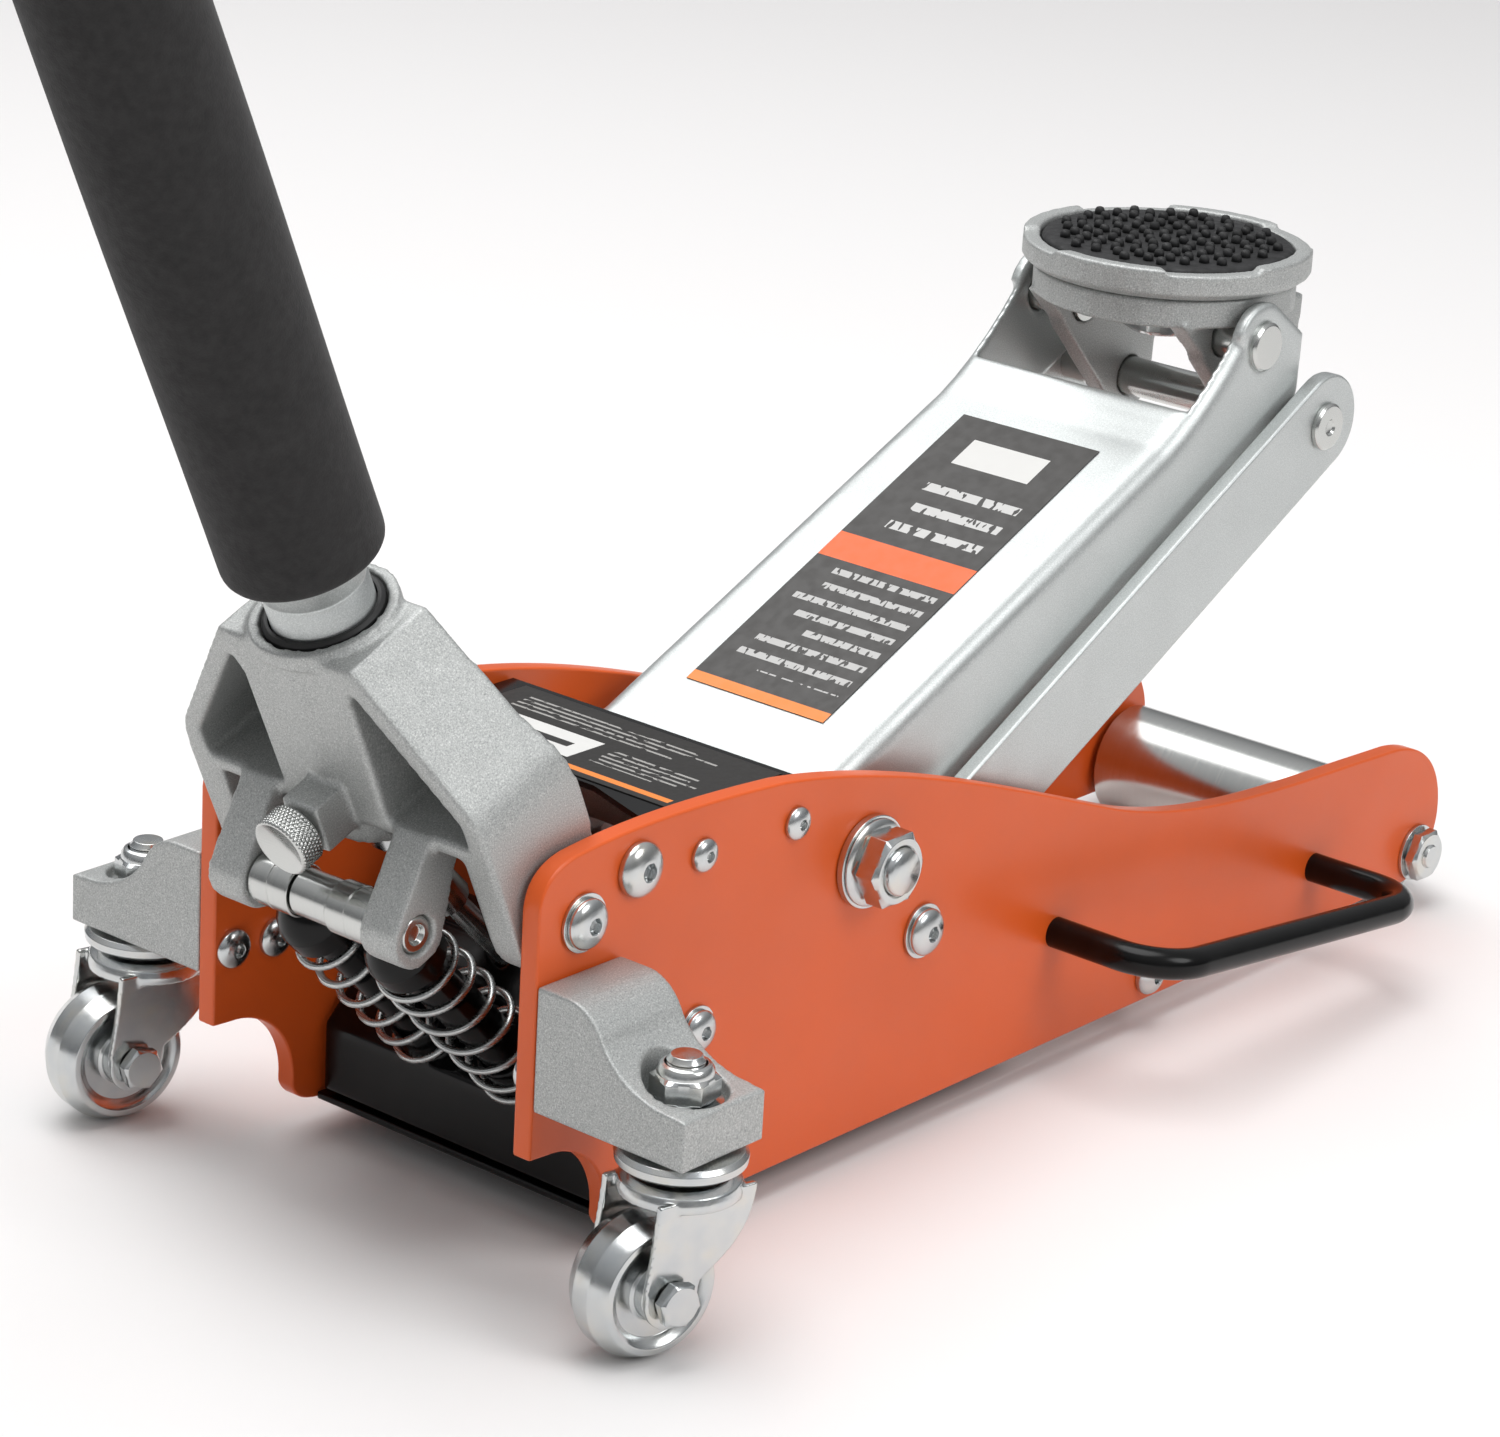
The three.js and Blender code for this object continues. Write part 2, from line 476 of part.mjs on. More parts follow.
add("roller_pin", rodY(pump.pin, -lugOuter + 1, lugOuter - 1, -pump.back, pump.up, 14)
  .add(rodY(pump.roller - 1, -pump.collar, pump.collar, -pump.back, pump.up, 16)), steel, handleAxis);
for (const [name, side] of sides) {
  const y = [side * (pump.collar + fit), side * (lugs.gap - fit)].sort((a, b) => a - b);
  add(`pump_roller_${name}`, rodY(pump.roller, y[0], y[1], -pump.back, pump.up, 20)
    .subtract(rodY(pump.pin + fit, -inner, inner, -pump.back, pump.up, 14)), steel, handleAxis);
}
const knobIn = socket.rear + knob.bossDepth + knob.gap;
add("lock_screw", rodX(knob.radius, -knobIn - knob.length, -knobIn, 0, knob.up, 20)
  .add(rodX(knob.stud, -knobIn - 1, -tube.radius - 1, 0, knob.up, 12)), steel, handleAxis);
const ringTop = socket.top + collar.height + 0.8;
add("seal_ring", pipe(ringRadius, tube.radius + fit, socket.top - collar.seat + fit, ringTop),
  black, handleAxis);

const tubeIn = tube.radius - tube.wall;
add("handle_tube_lower", pipe(tube.radius, tubeIn, tube.start, tube.split), silver, handleAxis);
add("handle_tube_upper", pipe(tubeIn - fit, tubeIn - fit - tube.wall, tube.split - tube.lap, tube.end - 4),
  silver, handleAxis);
add("foam_sleeve", pipe(tube.radius + foam.wall, tube.radius + fit, foam.start, foam.end, 32),
  rubber, handleAxis);
const gripRadius = tubeIn + grip.wall;
add("handle_grip", turned([
  [tubeIn, tube.end - grip.length], [gripRadius, tube.end - grip.length],
  [gripRadius, tube.end - 3], [gripRadius - 4, tube.end], [0, tube.end], [0, tube.end - 3.5],
  [tubeIn, tube.end - 3.5], [tubeIn, tube.end - grip.length],
], 20), rubber, handleAxis);
add("valve_coupler", rodZ(tube.radius - 6, 10, tube.start + 12, 0, 0, 14)
  .add(rodZ(tubeIn - fit, tube.start + fit, tube.start + 12, 0, 0, 14)), steel, handleAxis);

// ---- lift arm, drawn along its own line from pivot to front pin --------------------------
const armAngle = rad(arm.angle);
const armAxis = new THREE.Group();
armAxis.position.set(arm.x, 0, arm.z);
armAxis.rotation.y = -armAngle;
floorJack.add(armAxis);

const armTop = (s) => 14.5 + s * Math.tan(rad(arm.slope)); // upper face above the pin line
function liftArm() {
  const L = arm.length;
  const low = armTop(L) - arm.height;
  const start = L - armBend.rise;
  const rise = [[start, armTop(start)], [L - 36, armTop(start)], [L - 11, 11]]; // up to the ear
  const side = new THREE.Shape();
  side.moveTo(6, armTop(6));
  side.lineTo(...rise[0]);
  side.quadraticCurveTo(...rise[1], ...rise[2]);
  side.absarc(L, 0, arm.ear, Math.PI * 0.75, Math.PI * 0.2, true);
  side.lineTo(L + arm.ear + 7, -11);
  side.lineTo(L + 12, low + 3);
  side.quadraticCurveTo(L + 11, low, L + 4, low);
  side.lineTo(40, low);
  side.quadraticCurveTo(24, low, 10, -23);
  side.absarc(0, 0, 25, -Math.PI * 0.37, Math.PI * 0.69, true);
  const front = L + 40;
  let shape = slab(side, -armHalf, armHalf, 8);
  // Hollow from below: the web is left on top, and the flanges on both sides.
  const wallIn = armHalf - arm.wall;
  const below = shapeOf([
    [-40, armTop(-40) - arm.wall], [front, armTop(front) - arm.wall], [front, -80], [-40, -80],
  ]);
  shape = shape.subtract(slab(below, -wallIn, wallIn));
  // Window for the saddle bracket, open to the front, and the open rear end.
  shape = shape.subtract(box(L - armBend.window, front, -wallIn, wallIn, -60, 60))
    .subtract(box(-40, -8, -wallIn, wallIn, -60, 60));
  // Folded edges: what lies outside the bend is taken off in straight lengths that overlap.
  const outside = new THREE.Shape();
  outside.moveTo(armHalf - armBend.radius, 0);
  outside.absarc(armHalf - armBend.radius, -armBend.radius, armBend.radius, Math.PI / 2, 0, true);
  outside.lineTo(armHalf + 2, -armBend.radius);
  outside.lineTo(armHalf + 2, 3);
  outside.lineTo(armHalf - armBend.radius, 3);
  const curve = new THREE.QuadraticBezierCurve(...rise.map(([s, n]) => new THREE.Vector2(s, n)));
  const along = [new THREE.Vector2(-14, armTop(-14)), ...curve.getPoints(5)];
  for (let i = 1; i < along.length; i += 1) {
    const run = along[i].clone().sub(along[i - 1]);
    const cut = bar(outside, -1, run.length() + 1, 5)
      .rotate([0, -THREE.MathUtils.radToDeg(run.angle()), 0])
      .translate([along[i - 1].x, 0, along[i - 1].y]);
    shape = shape.subtract(cut).subtract(cut.mirror([0, 1, 0]));
  }
  // Pivot sleeve, and the two levers that the ram's pin joins.
  const sleeve = inner - 1;
  shape = shape.add(rodY(17, -sleeve, sleeve, 0, 0, 20));
  const turn = -Math.PI / 2 + ramAngle - armAngle;
  const px = ram.lever * Math.cos(turn);
  const pz = ram.lever * Math.sin(turn);
  for (const s of [-1, 1]) {
    const y = [s * 17, s * 25].sort((a, b) => a - b);
    const lever = rodY(11, y[0], y[1], px, pz, 16).add(
      slab(shapeOf([[-pz * 0.39, px * 0.39], [px - pz * 0.39, pz + px * 0.39],
        [px + pz * 0.39, pz - px * 0.39], [pz * 0.39, -px * 0.39]].reverse()), y[0], y[1]));
    shape = shape.add(lever);
  }
  return shape
    .subtract(rodY(armBolt.radius + fit, -inner, inner, 0, 0, 20))
    .subtract(rodY(ram.pinRadius + fit, -26, 26, px, pz, 16))
    .subtract(rodY(link.pin + fit, -inner, inner, L, 0, 16));
}
add("lift_arm", liftArm(), silver, armAxis);
for (const [name, side] of sides) {
  const y = [side * (bracketHalf - bracket.cheek - 1), side * (armHalf + 2.3)].sort((a, b) => a - b);
  add(`arm_front_pin_${name}`, rodY(link.pin, y[0], y[1], arm.length, 0, 16), steel, armAxis);
}
add("ram_pin", rodY(ram.pinRadius, -25, 25, leverX, leverZ, 16), steel);

// Parallel links keep the saddle level: with the arm they make an exact parallelogram.
for (const [name, side] of sides) {
  const linkAxis = new THREE.Group();
  linkAxis.position.set(arm.x + link.dx, 0, arm.z + link.dz);
  linkAxis.rotation.y = -armAngle;
  floorJack.add(linkAxis);
  const h = link.width / 2;
  const ends = link.reach - h;
  const shape = new THREE.Shape();
  shape.moveTo(-ends, -h);
  shape.lineTo(arm.length + ends, -h);
  shape.absarc(arm.length + ends, 0, h, -Math.PI / 2, Math.PI / 2, false);
  shape.lineTo(-ends, h);
  shape.absarc(-ends, 0, h, Math.PI / 2, Math.PI * 1.5, false);
  const y = [side * linkInner, side * linkOuter].sort((a, b) => a - b);
  add(`parallel_link_${name}`, slab(shape, y[0], y[1], 10)
    .subtract(rodY(link.pin + fit, -inner, inner, 0, 0, 16))
    .subtract(rodY(link.pin + fit, -inner, inner, arm.length, 0, 16)), silver, linkAxis);
}

// ---- saddle -----------------------------------------------------------------------------
const frontX = arm.x + arm.length * Math.cos(armAngle);
const frontZ = arm.z + arm.length * Math.sin(armAngle);
const saddleX = frontX + bracket.forward;
const headZ = frontZ + bracket.rise;
const saddleZ = headZ + bracket.thick + fit;
function saddleBracket() {
  const headHalf = armHalf - arm.wall - 1.5;
  let shape = rodZ(bracket.radius, headZ, headZ + bracket.thick, saddleX, 0, 28)
    .intersect(box(saddleX - 60, saddleX + 60, -headHalf, headHalf, headZ - 1, headZ + 20));
  const cheek = new THREE.Shape();
  cheek.moveTo(frontX - 26, headZ + 2);
  cheek.lineTo(frontX - bracket.boss + 1, frontZ - 5);
  cheek.absarc(frontX, frontZ, bracket.boss, Math.PI * 1.1, Math.PI * 1.25, false);
  cheek.lineTo(frontX + link.dx - 10, frontZ + link.dz - 9);
  cheek.absarc(frontX + link.dx, frontZ + link.dz, bracket.boss, Math.PI * 1.25, Math.PI * 2, false);
  cheek.lineTo(saddleX + 38, headZ + 2);
  for (const side of [-1, 1]) {
    const y = [side * (bracketHalf - bracket.cheek), side * bracketHalf].sort((a, b) => a - b);
    shape = shape.add(slab(cheek, y[0], y[1], 6));
  }
  return shape
    .subtract(rodZ(saddle.bolt + fit, headZ - 5, headZ + 20, saddleX))
    .subtract(rodY(link.pin + fit, -inner, inner, frontX, frontZ, 16))
    .subtract(rodY(link.pin + fit, -inner, inner, frontX + link.dx, frontZ + link.dz, 16));
}
add("saddle_bracket", saddleBracket(), castAlloy);
const pinEnd = linkOuter + 2.5;
add("link_pin", rodY(link.pin, -pinEnd, pinEnd, frontX + link.dx, frontZ + link.dz, 16), steel);

const rimZ = saddleZ + saddle.height;
const floorZ = rimZ - saddle.lip;
let saddleCup = turned([
  [0, saddleZ], [saddle.radius - 3.5, saddleZ], [saddle.radius, saddleZ + 2.5],
  [saddle.radius, rimZ], [saddle.pad + 0.6, rimZ], [saddle.pad + 0.6, floorZ], [0, floorZ],
], 36).subtract(rodZ(saddle.bolt + fit, saddleZ - 1, rimZ + 1, 0, 0, 16));
for (const quarter of [0, 1, 2, 3]) {
  const notch = box(saddle.pad - 4, saddle.radius + 2, -17, 17, rimZ - 1.6, rimZ + 1);
  saddleCup = saddleCup.subtract(notch.rotate([0, 0, 55 + 90 * quarter]));
}
add("saddle", saddleCup.translate([saddleX, 0, 0]), castAlloy);
const padZ = floorZ + fit;
add("saddle_pad", turned([
  [0, padZ], [saddle.pad - 0.5, padZ], [saddle.pad, padZ + 1], [saddle.pad, padZ + saddle.padHeight - 2],
  [saddle.pad - 2, padZ + saddle.padHeight], [0, padZ + saddle.padHeight],
], 36).translate([saddleX, 0, 0]), rubber);
add("saddle_bolt", rodZ(saddle.bolt, headZ - 2, floorZ - fit, saddleX, 0, 16)
  .add(rodZ(24 / Math.sqrt(3), headZ - 12, headZ - fit, saddleX, 0, 6)), steel);

// ---- origin: below the middle of the whole object, on the floor ---------------------------
floorJack.updateMatrixWorld(true);
const extent = new THREE.Box3().setFromObject(floorJack, true);
floorJack.position.x = -(extent.min.x + extent.max.x) / 2;

export default floorJack;
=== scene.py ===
import json
import math

import bmesh
import bpy
import numpy as np
from bpy.props import FloatProperty, FloatVectorProperty, IntProperty, PointerProperty
from mathutils import Matrix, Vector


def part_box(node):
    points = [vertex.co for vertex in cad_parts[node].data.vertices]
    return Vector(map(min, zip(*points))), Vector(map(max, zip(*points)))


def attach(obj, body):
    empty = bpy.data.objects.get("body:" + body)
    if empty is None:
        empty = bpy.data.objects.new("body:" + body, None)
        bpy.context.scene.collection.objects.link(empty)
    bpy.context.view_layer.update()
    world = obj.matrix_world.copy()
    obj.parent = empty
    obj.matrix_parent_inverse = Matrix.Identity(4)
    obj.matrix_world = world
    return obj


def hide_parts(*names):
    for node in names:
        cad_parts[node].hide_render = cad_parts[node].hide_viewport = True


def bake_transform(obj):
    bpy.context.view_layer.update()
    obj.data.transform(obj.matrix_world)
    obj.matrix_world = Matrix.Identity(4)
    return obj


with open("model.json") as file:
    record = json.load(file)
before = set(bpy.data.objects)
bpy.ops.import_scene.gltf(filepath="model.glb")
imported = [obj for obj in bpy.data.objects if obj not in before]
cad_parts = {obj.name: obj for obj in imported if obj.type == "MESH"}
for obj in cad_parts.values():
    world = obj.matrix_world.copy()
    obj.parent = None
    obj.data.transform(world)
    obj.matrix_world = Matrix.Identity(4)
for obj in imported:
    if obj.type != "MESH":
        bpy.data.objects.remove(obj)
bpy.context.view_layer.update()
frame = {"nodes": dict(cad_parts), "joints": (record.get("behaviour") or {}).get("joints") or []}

bl_info = {
    "name": "Hydraulic Floor Jack",
    "version": (1, 0, 0),
    "blender": (4, 5, 0),
    "location": "View3D > Sidebar > Jack",
    "description": "Builds the pieces, finishes and stage of a low hydraulic floor jack",
    "category": "Object",
}

# ---- places, all in millimetres in the row frame -------------------------------------------
MM = 0.001
JOINTS = {joint["name"]: joint for joint in frame["joints"]}
SIDES = (("left", 1), ("right", -1))


def vec(*values):
    return np.array(values, float)


def unit(vector):
    return np.asarray(vector, float) / np.linalg.norm(vector)


def joint_at(name):
    return vec(*JOINTS[name]["pos_m"]) / MM


def box(node):
    """Lowest and highest corner of a CAD node, in millimetres."""
    low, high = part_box(node)
    return vec(*low) / MM, vec(*high) / MM


def place(origin, x_axis, z_axis):
    """A local frame: its origin, and its x, y and z axes as rows."""
    z = unit(z_axis)
    x = unit(np.asarray(x_axis, float) - np.dot(x_axis, z) * z)
    return vec(*origin), np.stack([x, np.cross(z, x), z])


def laid(points, where):
    origin, axes = where
    return origin + np.asarray(points, float) @ axes


def taken(points, where):
    """The reverse of laid: row-frame points in the local frame."""
    origin, axes = where
    return (np.asarray(points, float) - origin) @ axes.T


X, Y, Z = vec(1, 0, 0), vec(0, 1, 0), vec(0, 0, 1)
REAR = box("side_plate_left")[0][0]
INNER, OUTER = box("side_plate_left")[0][1], box("side_plate_left")[1][1]
TUBE_AXIS = JOINTS["handle_twist"]["axis"]
HANDLE = place(joint_at("handle_pump"), np.cross(Y, TUBE_AXIS), TUBE_AXIS)
PIVOT = joint_at("lift")
FRONT_PIN = joint_at("saddle_level")
ARM_LENGTH = np.linalg.norm(FRONT_PIN - PIVOT)
ARM_LINE = unit(FRONT_PIN - PIVOT)
ARM = place(PIVOT, ARM_LINE, np.cross(ARM_LINE, Y))
PUMP_PIN = joint_at("pump_roller_spin_left") * vec(1, 0, 1)
PLUNGE = vec(*JOINTS["plunger_slide_left"]["axis"])
SADDLE = joint_at("saddle_spin") * vec(1, 1, 0)


# ---- what a user would change ---------------------------------------------------------------
class JackSizes(bpy.types.PropertyGroup):
    """Sizes of the pieces, in millimetres where the name says nothing else."""

    cast_grain: FloatProperty(name="Casting detail", default=1.0, min=0.5, max=3.0,
                              description="Grid size of the castings' rounded skin")
    edge: FloatProperty(name="Edge rounding", default=0.7, min=0.1, max=2.0,
                        description="Rounding on the edges of plates and turned pieces")
    wire: FloatProperty(name="Spring wire", default=2.5, min=1.5, max=3.5,
                        description="Diameter of the pump springs' wire")
    turns: FloatProperty(name="Spring turns", default=6.5, min=4.0, max=9.0,
                         description="Turns of wire in each pump spring")
    nub: FloatProperty(name="Nub", default=3.7, min=2.0, max=6.0,
                       description="Width of the rubber pad's raised nubs")
    nubs: IntProperty(name="Nub count", default=112, min=20, max=200,
                      description="How many nubs the rubber pad has")


class JackColours(bpy.types.PropertyGroup):
    """Main colours, as sRGB values."""

    paint: FloatVectorProperty(name="Plates", subtype="COLOR_GAMMA", size=3, default=(0.87, 0.36, 0.125),
                               description="Colour of the side plates' powder coat")
    foam: FloatVectorProperty(name="Foam", subtype="COLOR_GAMMA", size=3, default=(0.15, 0.146, 0.146),
                              description="Colour of the foam sleeve")


# ---- meshes ---------------------------------------------------------------------------------
def grid_faces(rows, columns, round_rows=False, round_columns=True, start=0):
    """Quads of a grid of rows by columns points, numbered row by row."""
    i = np.arange(rows if round_rows else rows - 1)[:, None]
    j = np.arange(columns if round_columns else columns - 1)[None, :]
    down, over = (i + 1) % rows, (j + 1) % columns
    corners = [i * columns + j, i * columns + over, down * columns + over, down * columns + j]
    return np.stack([c + np.zeros_like(i * j) for c in corners], -1).reshape(-1, 4) + start


def shell(rings, closed=False):
    """A closed skin over rings of points, an array of rings by points by 3.
    Both ends are closed by one flat face each, unless the rings themselves close."""
    rows, columns = rings.shape[:2]
    faces = grid_faces(rows, columns, round_rows=closed).tolist()
    if not closed:
        faces.append(list(range(columns))[::-1])
        faces.append(list(range((rows - 1) * columns, rows * columns)))
    return rings.reshape(-1, 3), faces


def turned(profile, sides=72, shape=None):
    """A profile of (radius, height) turned about z: x = r cos a, y = r sin a, z = h.
    shape(a, r, h) may give another radius at each angle. A profile ends on the axis or on itself."""
    profile = np.asarray(profile, float)
    closed = bool(np.allclose(profile[0], profile[-1]))
    if closed:
        profile = profile[:-1]
    angle = np.linspace(0, 2 * math.pi, sides, endpoint=False)[None, :]
    radius = profile[:, :1] + 0 * angle
    height = profile[:, 1:] + 0 * angle
    if shape is not None:
        radius = shape(angle, radius, height)
    rings = np.stack([radius * np.cos(angle), radius * np.sin(angle), height], -1)
    return shell(rings, closed)


def prism(outline, low, high):
    """An outline in (x, z) carried straight along y from low to high."""
    outline = np.asarray(outline, float)
    rings = np.stack([np.insert(outline, 1, y, axis=1) for y in (low, high)])
    return shell(rings)


def swept(path, radius, sides=12):
    """A round section carried along a path: centre + r (cos a N + sin a B), where N and B
    stay square to the path and turn with it as little as they can."""
    path = np.asarray(path, float)
    tangent = np.gradient(path, axis=0)
    tangent /= np.linalg.norm(tangent, axis=1)[:, None]
    reference = Z if abs(tangent[0] @ Z) < 0.9 else X
    normal = [unit(np.cross(tangent[0], reference))]
    for t in tangent[1:]:
        normal.append(unit(normal[-1] - (normal[-1] @ t) * t))
    normal = np.array(normal)
    binormal = np.cross(tangent, normal)
    angle = np.linspace(0, 2 * math.pi, sides, endpoint=False)[None, :, None]
    rings = path[:, None] + radius * (np.cos(angle) * normal[:, None] + np.sin(angle) * binormal[:, None])
    return shell(rings)


def line(start, end, count):
    """Points evenly spaced from start to end: (1 - t) start + t end."""
    t = np.linspace(0, 1, count)[:, None]
    return (1 - t) * vec(*start) + t * vec(*end)


def curve(*controls, count=16):
    """A Bezier curve of any degree through its first and last control points."""
    t = np.linspace(0, 1, count)[:, None]
    n = len(controls) - 1
    return sum(math.comb(n, k) * (1 - t) ** (n - k) * t ** k * vec(*c) for k, c in enumerate(controls))


def arc(centre, radius, start, end, count=16):
    """Points of a circle in its plane, from one angle to another, in degrees."""
    a = np.radians(np.linspace(start, end, count))
    return vec(*centre) + radius * np.stack([np.cos(a), np.sin(a)], -1)


def joined(*shells):
    """Several closed shells as one list of points and one of faces."""
    points, faces, start = [], [], 0
    for p, f in shells:
        points.append(np.asarray(p, float))
        faces += [[i + start for i in face] for face in f]
        start += len(p)
    return np.concatenate(points), faces


def moved(piece, height, spin=0.0):
    """A shell turned about z by spin degrees, then lifted along z."""
    points, faces = piece
    turn = np.array(Matrix.Rotation(math.radians(spin), 3, "Z"))
    return np.asarray(points) @ turn.T + vec(0, 0, height), faces


def rod(radius, low, high, sides):
    """A plain round rod along z from low to high: a profile of two corners, turned."""
    return turned([(0, low), (radius, low), (radius, high), (0, high)], sides)


def mirrored(half):
    """A profile that is the same on both sides of height 0, from its upper half."""
    return [(r, -h) for r, h in half[::-1]][:-1] + half[1:]


def mesh_of(name, piece):
    """A Blender mesh, in metres, with its doubles merged and its faces pointing out."""
    points, faces = piece
    mesh = bpy.data.meshes.new(name)
    mesh.from_pydata((np.asarray(points) * MM).tolist(), [], [list(f) for f in faces])
    work = bmesh.new()
    work.from_mesh(mesh)
    bmesh.ops.remove_doubles(work, verts=work.verts, dist=2e-6)
    bmesh.ops.recalc_face_normals(work, faces=work.faces)
    work.to_mesh(mesh)
    work.free()
    return mesh


def show(name, mesh, body, material, replaces=(), edge=0.0):
    """Puts a finished mesh in the scene with its finish.
    It rides on a body where one is given, and its edges are rounded by edge millimetres."""
    piece = bpy.data.objects.new(name, mesh)
    bpy.context.scene.collection.objects.link(piece)
    mesh.materials.clear()
    mesh.materials.append(material)
    mesh.shade_smooth()
    if edge:
        bevel = piece.modifiers.new("edge", "BEVEL")
        bevel.width = edge * MM
        bevel.segments = 2
        bevel.limit_method = "ANGLE"
        bevel.angle_limit = math.radians(32)
        piece.modifiers.new("flat faces", "WEIGHTED_NORMAL").keep_sharp = False
    if body:
        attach(piece, body)
    if replaces:
        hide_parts(*replaces)
    return piece


def solid(name, piece, body, material, replaces=(), edge=None, where=None):
    """A shell as a piece, laid in a local frame where one is given."""
    points, faces = piece
    if where is not None:
        points = laid(points, where)
    if edge is None:
        edge = bpy.context.scene.jack_sizes.edge
    return show(name, mesh_of(name, (points, faces)), body, material, replaces, edge)


def cad_shell(node, where=None):
    """A copy of a CAD node's mesh with its loose triangles merged, as points and faces."""
    work = bmesh.new()
    work.from_mesh(frame["nodes"][node].data)
    bmesh.ops.remove_doubles(work, verts=work.verts, dist=1e-5)
    bmesh.ops.recalc_face_normals(work, faces=work.faces)
    points = np.array([v.co for v in work.verts]) / MM
    faces = [[v.index for v in face.verts] for face in work.faces]
    work.free()
    return (points if where is None else taken(points, where)), faces


def cast(name, piece, body, material, replaces=(), grain=None, rounds=5, where=None):
    """A casting's skin: the shell is rebuilt on a fine grid and relaxed, which rounds every edge
    and fills every corner as a sand or die casting does."""
    grain = grain or bpy.context.scene.jack_sizes.cast_grain
    raw = bpy.data.objects.new(name + "_raw", mesh_of(name + "_raw", piece))
    bpy.context.scene.collection.objects.link(raw)
    remesh = raw.modifiers.new("skin", "REMESH")
    remesh.mode = "VOXEL"
    remesh.voxel_size = grain * MM
    relax = raw.modifiers.new("relax", "SMOOTH")
    relax.factor = 0.5
    relax.iterations = rounds
    mesh = bpy.data.meshes.new_from_object(raw.evaluated_get(bpy.context.evaluated_depsgraph_get()))
    old = raw.data
    bpy.data.objects.remove(raw)
    bpy.data.meshes.remove(old)
    if where is not None:
        co = np.zeros(len(mesh.vertices) * 3, np.float32)
        mesh.vertices.foreach_get("co", co)
        co = laid(co.reshape(-1, 3) / MM, where) * MM
        mesh.vertices.foreach_set("co", co.astype(np.float32).ravel())
        mesh.update()
    mesh.name = name
    return show(name, mesh, body, material, replaces)


# ---- fasteners ------------------------------------------------------------------------------
def hexagon(across):
    """Radius of a hexagon at each angle, across / 2 / cos(angle from the flat's middle), cut by the
    turned profile's own radius."""
    def shape(angle, radius, height):
        flat = across / 2 / np.cos((angle % (math.pi / 3)) - math.pi / 6)
        return np.minimum(radius, flat)
    return shape


def hex_nut(across, height, bore=0.0, sides=96):
    """A hexagon with 30 degree chamfers at both ends: a hexagon and a cone, whichever is smaller."""
    corner, rim, lead = across / math.sqrt(3), across * 0.47, 0.6
    chamfer = (corner - rim) * math.tan(math.radians(30))
    profile = [(0, 0), (rim, 0), (corner, chamfer), (corner, height - chamfer), (rim, height), (0, height)]
    if bore:
        profile = [(bore + lead, 0), *profile[1:-1], (bore + lead, height), (bore, height - lead), (bore, lead),
                   (bore + lead, 0)]
    return turned(profile, sides, hexagon(across))


def threads(radius, low, high, pitch=1.5):
    """A threaded shank as a stack of 60 degree ridges, with a chamfered end."""
    crests = np.arange(low, high - pitch, pitch)
    ridge = np.stack([np.tile([radius, radius - 0.55 * pitch], len(crests)),
                      np.stack([crests, crests + pitch / 2], -1).ravel()], -1)
    ends = [(0, low - pitch / 2), (radius - 0.5, low - pitch / 2)]
    return turned([*ends, *ridge.tolist(), (radius - 1.2, high), (0, high)], 40)


def tube(inside, outside, low, high, sides):
    """A plain ring along z: a rectangle of radius and height, turned."""
    return turned([(inside, low), (outside, low), (outside, high), (inside, high), (inside, low)], sides)


def washer(outside, inside, thick):
    return tube(inside, outside, 0, thick, 48)


def button_head(radius, height):
    """A domed head on a short rim, with a hexagon socket sunk in its top."""
    dome = [(radius * math.cos(a), height * (0.25 + 0.75 * math.sin(a)))
            for a in np.radians(np.linspace(0, 62, 9))]
    socket = radius * 0.62
    across = socket * 0.95
    rim = socket / 2 * 1.12
    depth = height * 0.55
    profile = [(0, 0), (radius * 0.97, 0), (radius, 0.3), *dome, (rim, height * 0.97),
               (rim * 0.97, height * 0.9), (rim * 0.96, height - depth), (0, height - depth - 0.4)]

    def shape(angle, r, h):
        sunk = np.zeros(len(profile), bool)[:, None]
        sunk[-3:-1] = True
        return np.where(sunk, hexagon(across)(angle, r, h), r)
    return turned(profile, 60, shape)


def outward(side, x, z):
    """A local frame on the outside of a plate, whose z points away from it."""
    return place((x, side * OUTER, z), X, side * Y)


def along_y(centre):
    """A local frame on the middle plane, level with a point, whose z runs across the jack."""
    return place(centre * vec(1, 0, 1), X, Y)


def plated(name, piece, where, replaces=(), edge=0.2, body="root"):
    """A zinc plated fastener."""
    return solid(name, piece, body, finishes()["zinc"], replaces, edge=edge, where=where)


# ---- finishes -------------------------------------------------------------------------------
def linear(colour):
    """An sRGB hex string, or three sRGB values, as the linear colour that shaders take."""
    if isinstance(colour, str):
        colour = [int(colour[i:i + 2], 16) / 255 for i in (1, 3, 5)]
    return tuple(c / 12.92 if c <= 0.04045 else ((c + 0.055) / 1.055) ** 2.4 for c in colour) + (1.0,)


def add(tree, kind, inputs=None, **settings):
    """Adds a node, with its settings, and its inputs as values or links."""
    made = tree.nodes.new(kind)
    for key, value in settings.items():
        setattr(made, key, value)
    for key, value in (inputs or {}).items():
        if isinstance(value, bpy.types.NodeSocket):
            tree.links.new(value, made.inputs[key])
        else:
            made.inputs[key].default_value = value
    return made


